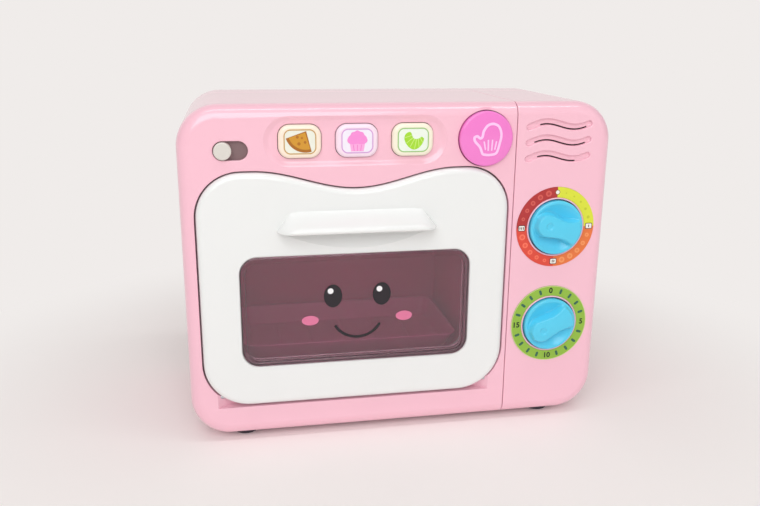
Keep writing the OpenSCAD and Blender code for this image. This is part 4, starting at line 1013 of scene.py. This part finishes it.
# dials
def knobHeight(u, v):
    # height over the rim at u along the pointer and v across it
    r, head, headR = math.hypot(u, v), dial["head"], dial["headR"]
    low = -dial["dish"] * (1 - min(1, r / dial["dishR"]) ** 2.4)
    if u > head:
        edge = math.hypot(u - head, v) - headR
    else:
        t = (head - u) / dial["length"]
        side = headR + (dial["far"] - headR) * t
        edge = abs(v) - side + (side - dial["waist"]) * math.sin(math.pi * min(1, t)) ** 1.4
    wall = 1 - ease(-1.0, 1.1, edge)
    wall *= 1 - ease(15.2, 17.2, r)
    top = dial["bar"] - 0.5 - 0.7 * min(1, (v / 8) ** 2) - 1.1 * ease(-3, -17, u)
    top -= 0.7 * (1 - ease(1.5, 2.9, math.hypot(u - head + 0.6, v)))  # dimple
    height = low + (top - low) * wall
    for a in (math.radians(-11), math.radians(11)):  # two small grips in front of the pointer
        bump = math.hypot(u - dial["gripR"] * math.cos(a), v - dial["gripR"] * math.sin(a))
        height += (1 - ease(0.4, 1.5, bump)) * (1 - wall)
    return height


def buildKnob(node, z, turn):
    r, edge = dial["knob"], 1.1
    back = housing["front"] + dial["well"] - dial["knobGap"]
    obj = layLoop(node + "Cap", dialCircle(z, r, 160), back, -1)
    pull(dial["rimFront"] + edge - back)
    shapeCap(roundOver(edge, 5))
    steps = 40
    ring = (r - edge) / steps
    shapeCap([(ring, 0)] * (steps - 1))
    bpy.ops.mesh.poke()
    closeShape()
    c, s = math.cos(math.radians(turn)), math.sin(math.radians(turn))
    for vertex in obj.data.vertices:
        x, h = vertex.co.x / mm - dial["x"], vertex.co.z / mm - z
        if vertex.co.y / mm < dial["rimFront"] + 0.01 and math.hypot(x, h) < r - edge - 0.1:
            vertex.co.y -= knobHeight(x * c + h * s, h * c - x * s) * mm
    return dress(smooth(obj, 60), finish["blue"], node, node, slot="knob_blue")


def sector(z, start, end):
    # quarter of a dial's ring
    return (arcPoints(dial["x"], z, dial["ringOuter"], start, end, 24)
            + arcPoints(dial["x"], z, dial["ringInner"], end, start, 24))


def dialPoint(z, r, turn):
    return arcPoints(dial["x"], z, r, turn, turn + 1, 1)[0]


def buildTemperatureRing():
    z, y, middle = dial["temperatureZ"], dial["ringFront"], dial["ringMiddle"]
    parts, stamps = [], []
    # each quarter: where it starts, its colour, its dots' colour, the first dot's radius and what each gains
    fields = ((90, (224, 230, 60), (200, 208, 44), 0.45, 0.15),
              (0, (236, 120, 60), (250, 160, 98), 1.4, 0.17),
              (-90, (228, 74, 56), (248, 118, 90), 1.3, 0.2),
              (180, (184, 50, 50), (216, 92, 82), 1.25, 0.2))
    for start, base, dots, small, more in fields:
        end = start - 90
        part = softSolid("field", sector(z, start, end)[::-1], y, dial["ringBack"])
        part.data.materials.append(ink(*base))
        parts.append(part)
        for k in range(5):
            turn = start + (end - start) * (k + 1) / 6
            px, pz = dialPoint(z, middle, turn)
            r = small + more * k
            stamps.append(stamp(circleLoop(px, pz, r, 28), y, ink(*dots)))
            if r > 1.1:
                core = tuple(round(0.65 * a + 0.35 * b) for a, b in zip(base, dots))
                stamps.append(stamp(circleLoop(px, pz, 0.475 * r, 24), y - 0.06, ink(*core), 0.05))
    ring = joinAll(parts)
    ring.name = "temperatureRing"
    dress(ring, None, "housing", "temperature_ring", slot="temperature_print")
    white, dark = ink(248, 246, 238), ink(92, 40, 40)
    px, pz = dialPoint(z, middle, 90)
    stamps += [stamp(circleLoop(px, pz, 1.7, 32), y, ink(150, 96, 50)),
               stamp(circleLoop(px, pz, 1.25, 28), y - 0.06, white)]
    for turn, bars in ((0, 1), (-90, 2), (180, 3)):  # heat marks of one, two and three bars
        px, pz = dialPoint(z, middle, turn)
        stamps += [stamp(roundedLoop(px, pz, 4.9, 4.1, 0.8, 5), y, dark),
                   stamp(roundedLoop(px, pz, 4.0, 3.2, 0.5, 5), y - 0.06, white)]
        for k in range(bars):
            bx = px + (k - (bars - 1) / 2) * 1.2
            stamps.append(stamp(roundedLoop(bx, pz, 0.6, 1.9, 0.3, 4), y - 0.12, dark, 0.05))
    return printOn("temperaturePrint", stamps, "housing", "temperature_print")


def digits(text, x, z, y, size, material):
    pickNothing()
    bpy.ops.object.text_add(location=(0, 0, 0))
    line = bpy.context.object.data
    line.body, line.align_x, line.align_y = text, "CENTER", "CENTER"
    line.size, line.extrude, line.offset = size * mm, 0.03 * mm, 0.17 * mm
    line.resolution_u = 6
    bpy.ops.object.convert(target="MESH")
    obj = bpy.context.object
    obj.rotation_euler = (math.pi / 2, 0, 0)
    obj.location = (x * mm, (y - 0.03) * mm, z * mm)
    settle(obj)
    obj.data.materials.append(material)
    return obj


def buildTimerRing():
    z, y, middle = dial["timerZ"], dial["ringFront"], dial["ringMiddle"]
    outer = dialCircle(z, dial["ringOuter"], 144)
    ring = ringSolid("timerRing", outer, dial["ringOuter"] - dial["ringInner"], y, dial["ringBack"])
    dress(ring, ink(148, 190, 64), "housing", "timer_ring", slot="timer_print")
    dark, tick, pale = ink(26, 40, 18), ink(50, 104, 82), ink(214, 222, 150)
    stamps = [stamp(outer, y, pale, width=0.45)]
    for k in range(20):
        turn = 90 - 18 * k
        if k % 5:
            a, b = dialPoint(z, middle - 1, turn), dialPoint(z, middle + 1, turn)
            stamps.append(stamp(strokeLoop([a, b], 1.7, 6), y, tick))
        else:
            px, pz = dialPoint(z, middle, turn)
            stamps.append(digits(str(k), px, pz, y, 5.2, dark))
    return printOn("timerPrint", stamps, "housing", "timer_print")


buildKnob("temperature_knob", dial["temperatureZ"], dial["temperatureTurn"])
buildKnob("timer_knob", dial["timerZ"], dial["timerTurn"])
buildTemperatureRing()
buildTimerRing()
print("dials ready")


# cavity and tray
tray = {"x": -30.5, "y": 6.5, "z": 45.5, "width": 140, "depth": 64, "round": 8, "height": 16, "wall": 2,
        "rimWidth": 148, "rimDepth": 84, "rimY": 0.5, "ribs": 5, "ribHalf": 26}


def buildCavity():
    wall, front, back = cavity["wall"], cavity["front"], cavity["back"]
    low = cavity["z"] - cavity["height"] / 2
    liner = softSolid("cavityLiner", plateLoop(cavity, wall), front, back + wall, 0, 0.6, 4)
    combine(liner, softSolid("cavityRoom", plateLoop(cavity), front - 4, back, 0, 3, 8))
    for s in (-1, 1):
        x = cavity["x"] + s * cavity["rail"]
        rail = softBox("rail", (x - 2, front, low - 0.5), (x + 2, back - 0.5, low + 1.7), 0.5, 2)
        combine(liner, rail, "UNION")
    top = cavity["z"] + cavity["height"] / 2 + wall / 2
    hole = addShape(bpy.ops.mesh.primitive_cylinder_add, "lampHole", vertices=48, depth=8 * mm,
                    radius=cavity["lampR"] * mm,
                    location=(cavity["x"] * mm, cavity["lampY"] * mm, top * mm))
    combine(liner, hole)
    return dress(smooth(liner), finish["magenta"], "housing", "cavity_liner", slot="cavity_magenta")


def buildTray():
    # a straight cup whose walls then lean out, most of all in front
    middle, y, z, height, wall = tray["x"], tray["y"], tray["z"], tray["height"], tray["wall"]
    loop = roundedLoop(middle, y, tray["width"], tray["depth"], tray["round"], 10)
    obj = layLoop("trayCup", loop, -z, -1)
    pull(-height)
    shapeCap([(wall, 0)])
    pull(height - wall)
    closeShape()
    obj.data.transform(Matrix.Rotation(-math.pi / 2, 4, "X"))
    modifier = obj.modifiers.new("softEdges", "BEVEL")
    modifier.width = 0.8 * mm
    modifier.segments = 3
    modifier.limit_method = "ANGLE"
    modifier.angle_limit = math.radians(50)
    bake(obj, modifier)
    floorZ, half = z + wall, tray["ribHalf"]
    for i in range(tray["ribs"]):
        x = middle + tray["rimWidth"] * ((i + 0.5) / tray["ribs"] - 0.5) * 0.8
        rib = softBox("rib", (x - 1.2, y - half, floorZ - 0.8), (x + 1.2, y + half, floorZ + 1), 0.5)
        combine(obj, rib, "UNION")
    for vertex in obj.data.vertices:
        t = (vertex.co.z / mm - z) / height
        wide = 1 + (tray["rimWidth"] / tray["width"] - 1) * t
        deep = 1 + (tray["rimDepth"] / tray["depth"] - 1) * t
        vertex.co.x = (middle + (vertex.co.x / mm - middle) * wide) * mm
        vertex.co.y = (y + (tray["rimY"] - y) * t + (vertex.co.y / mm - y) * deep) * mm
    return dress(smooth(obj), finish["tray"], "tray", "tray", slot="tray_pink")


buildCavity()
buildTray()
print("cavity and tray ready")


# carried-over nodes
carried = {
    "white": ("door_inner_panel",),
    "steel": ("housing_screws", "door_screws", "hinge_pins", "button_board_screws", "main_board_screws",
              "battery_cover_screw", "battery_contacts", "temperature_shaft", "timer_shaft",
              "speaker_magnet"),
    "grey": ("door_catch", "switch_body", "temperature_encoder", "timer_encoder", "battery_box"),
    "black": ("sound_chip", "speaker_frame", "speaker_wires"),
    "pad": ("button_pad",),
    "board": ("button_board", "main_board"),
    "paper": ("speaker_cone",),
    "lens": ("lamp_lens", "cavity_lamp"),
    "cell": ("batteries",),
    "red": ("battery_wires",),
    "wire": ("lamp_wires",),
}
for key, names in carried.items():
    for name in names:
        paint(nodes[name], finish[key])


# studio
studio = {"floor": (252, 247, 245), "backdrop": (240, 236, 234), "near": 0.16, "far": 0.41, "world": 0.43,
          "key": 15, "strip": 2.8, "fill": 1.2}


def pointAt(obj, target):
    obj.rotation_euler = (Vector(target) - obj.location).to_track_quat("-Z", "Y").to_euler()


def softbox(name, place, target, width, height, power):
    pickNothing()
    bpy.ops.object.light_add(type="AREA", location=place)
    lamp = bpy.context.object
    lamp.name = name
    lamp.data.shape = "RECTANGLE"
    lamp.data.size, lamp.data.size_y = width, height
    lamp.data.energy = power
    pointAt(lamp, target)
    return lamp


def paleSweep():
    # lit floor round the oven that fades into an even backdrop further off
    material = skin("floorPale", studio["floor"], 0.6, 0.01, clouds=3, grain=300, specular=0.2)
    tree, link = treeOf(material)
    place, reach = tree.new("ShaderNodeTexCoord"), tree.new("ShaderNodeVectorMath")
    fade = tree.new("ShaderNodeMapRange")
    reach.operation = "LENGTH"
    fade.interpolation_type = "SMOOTHSTEP"
    setInputs(fade, {"From Min": studio["near"], "From Max": studio["far"]})
    link(place.outputs["Object"], reach.inputs[0])
    link(reach.outputs["Value"], fade.inputs["Value"])
    path = tree.new("ShaderNodeLightPath").outputs
    seen = mathsNode(tree, link, "MAXIMUM", path["Is Camera Ray"], path["Is Glossy Ray"])
    seen = mathsNode(tree, link, "MAXIMUM", seen, path["Is Transmission Ray"])
    amount = mathsNode(tree, link, "MULTIPLY", fade.outputs["Result"], seen)
    glow, lit = tree.new("ShaderNodeEmission"), tree["Principled BSDF"].outputs["BSDF"]
    setInputs(glow, {"Color": srgb(*studio["backdrop"])})
    blendInto("Material Output", tree, link, amount, lit, glow.outputs["Emission"])
    return material


def buildStudio():
    sweep = addShape(bpy.ops.mesh.primitive_plane_add, "floorSweep", size=1)
    sweep.scale = (8, 5, 1)
    settle(sweep)
    openShape(sweep, "EDGE")
    pickEdges(lambda co: co.y > 1)
    pull(0, 4000)
    markNone()
    pickEdges(lambda co: co.y > 1 and co.z < 0.1)
    roundEdges(1200, 16)
    closeShape()
    bpy.ops.object.shade_smooth()
    sweep.data.materials.append(paleSweep())
    world = bpy.data.worlds.new("studioWorld")
    bpy.context.scene.world = world
    tree, link = treeOf(world)
    light, shown = tree["Background"], tree.new("ShaderNodeBackground")
    setInputs(light, {"Color": (1, 0.985, 0.97, 1), "Strength": studio["world"]})
    setInputs(shown, {"Color": srgb(240, 238, 236)})
    direct = tree.new("ShaderNodeLightPath").outputs["Is Camera Ray"]
    blendInto("World Output", tree, link, direct, light.outputs["Background"], shown.outputs["Background"])
    softbox("keySoftbox", (-0.38, -1.45, 1.1), (0, -0.05, 0.1), 1.5, 1.1, studio["key"])
    softbox("stripSoftbox", (0, -0.3, 1.25), (0, 0, 0.15), 1.3, 0.12, studio["strip"])
    softbox("fillSoftbox", (1.2, -1.0, 0.7), (0, 0, 0.1), 1.0, 1.0, studio["fill"])


buildStudio()
bpy.context.scene.view_settings.view_transform = "Standard"
print("studio ready")
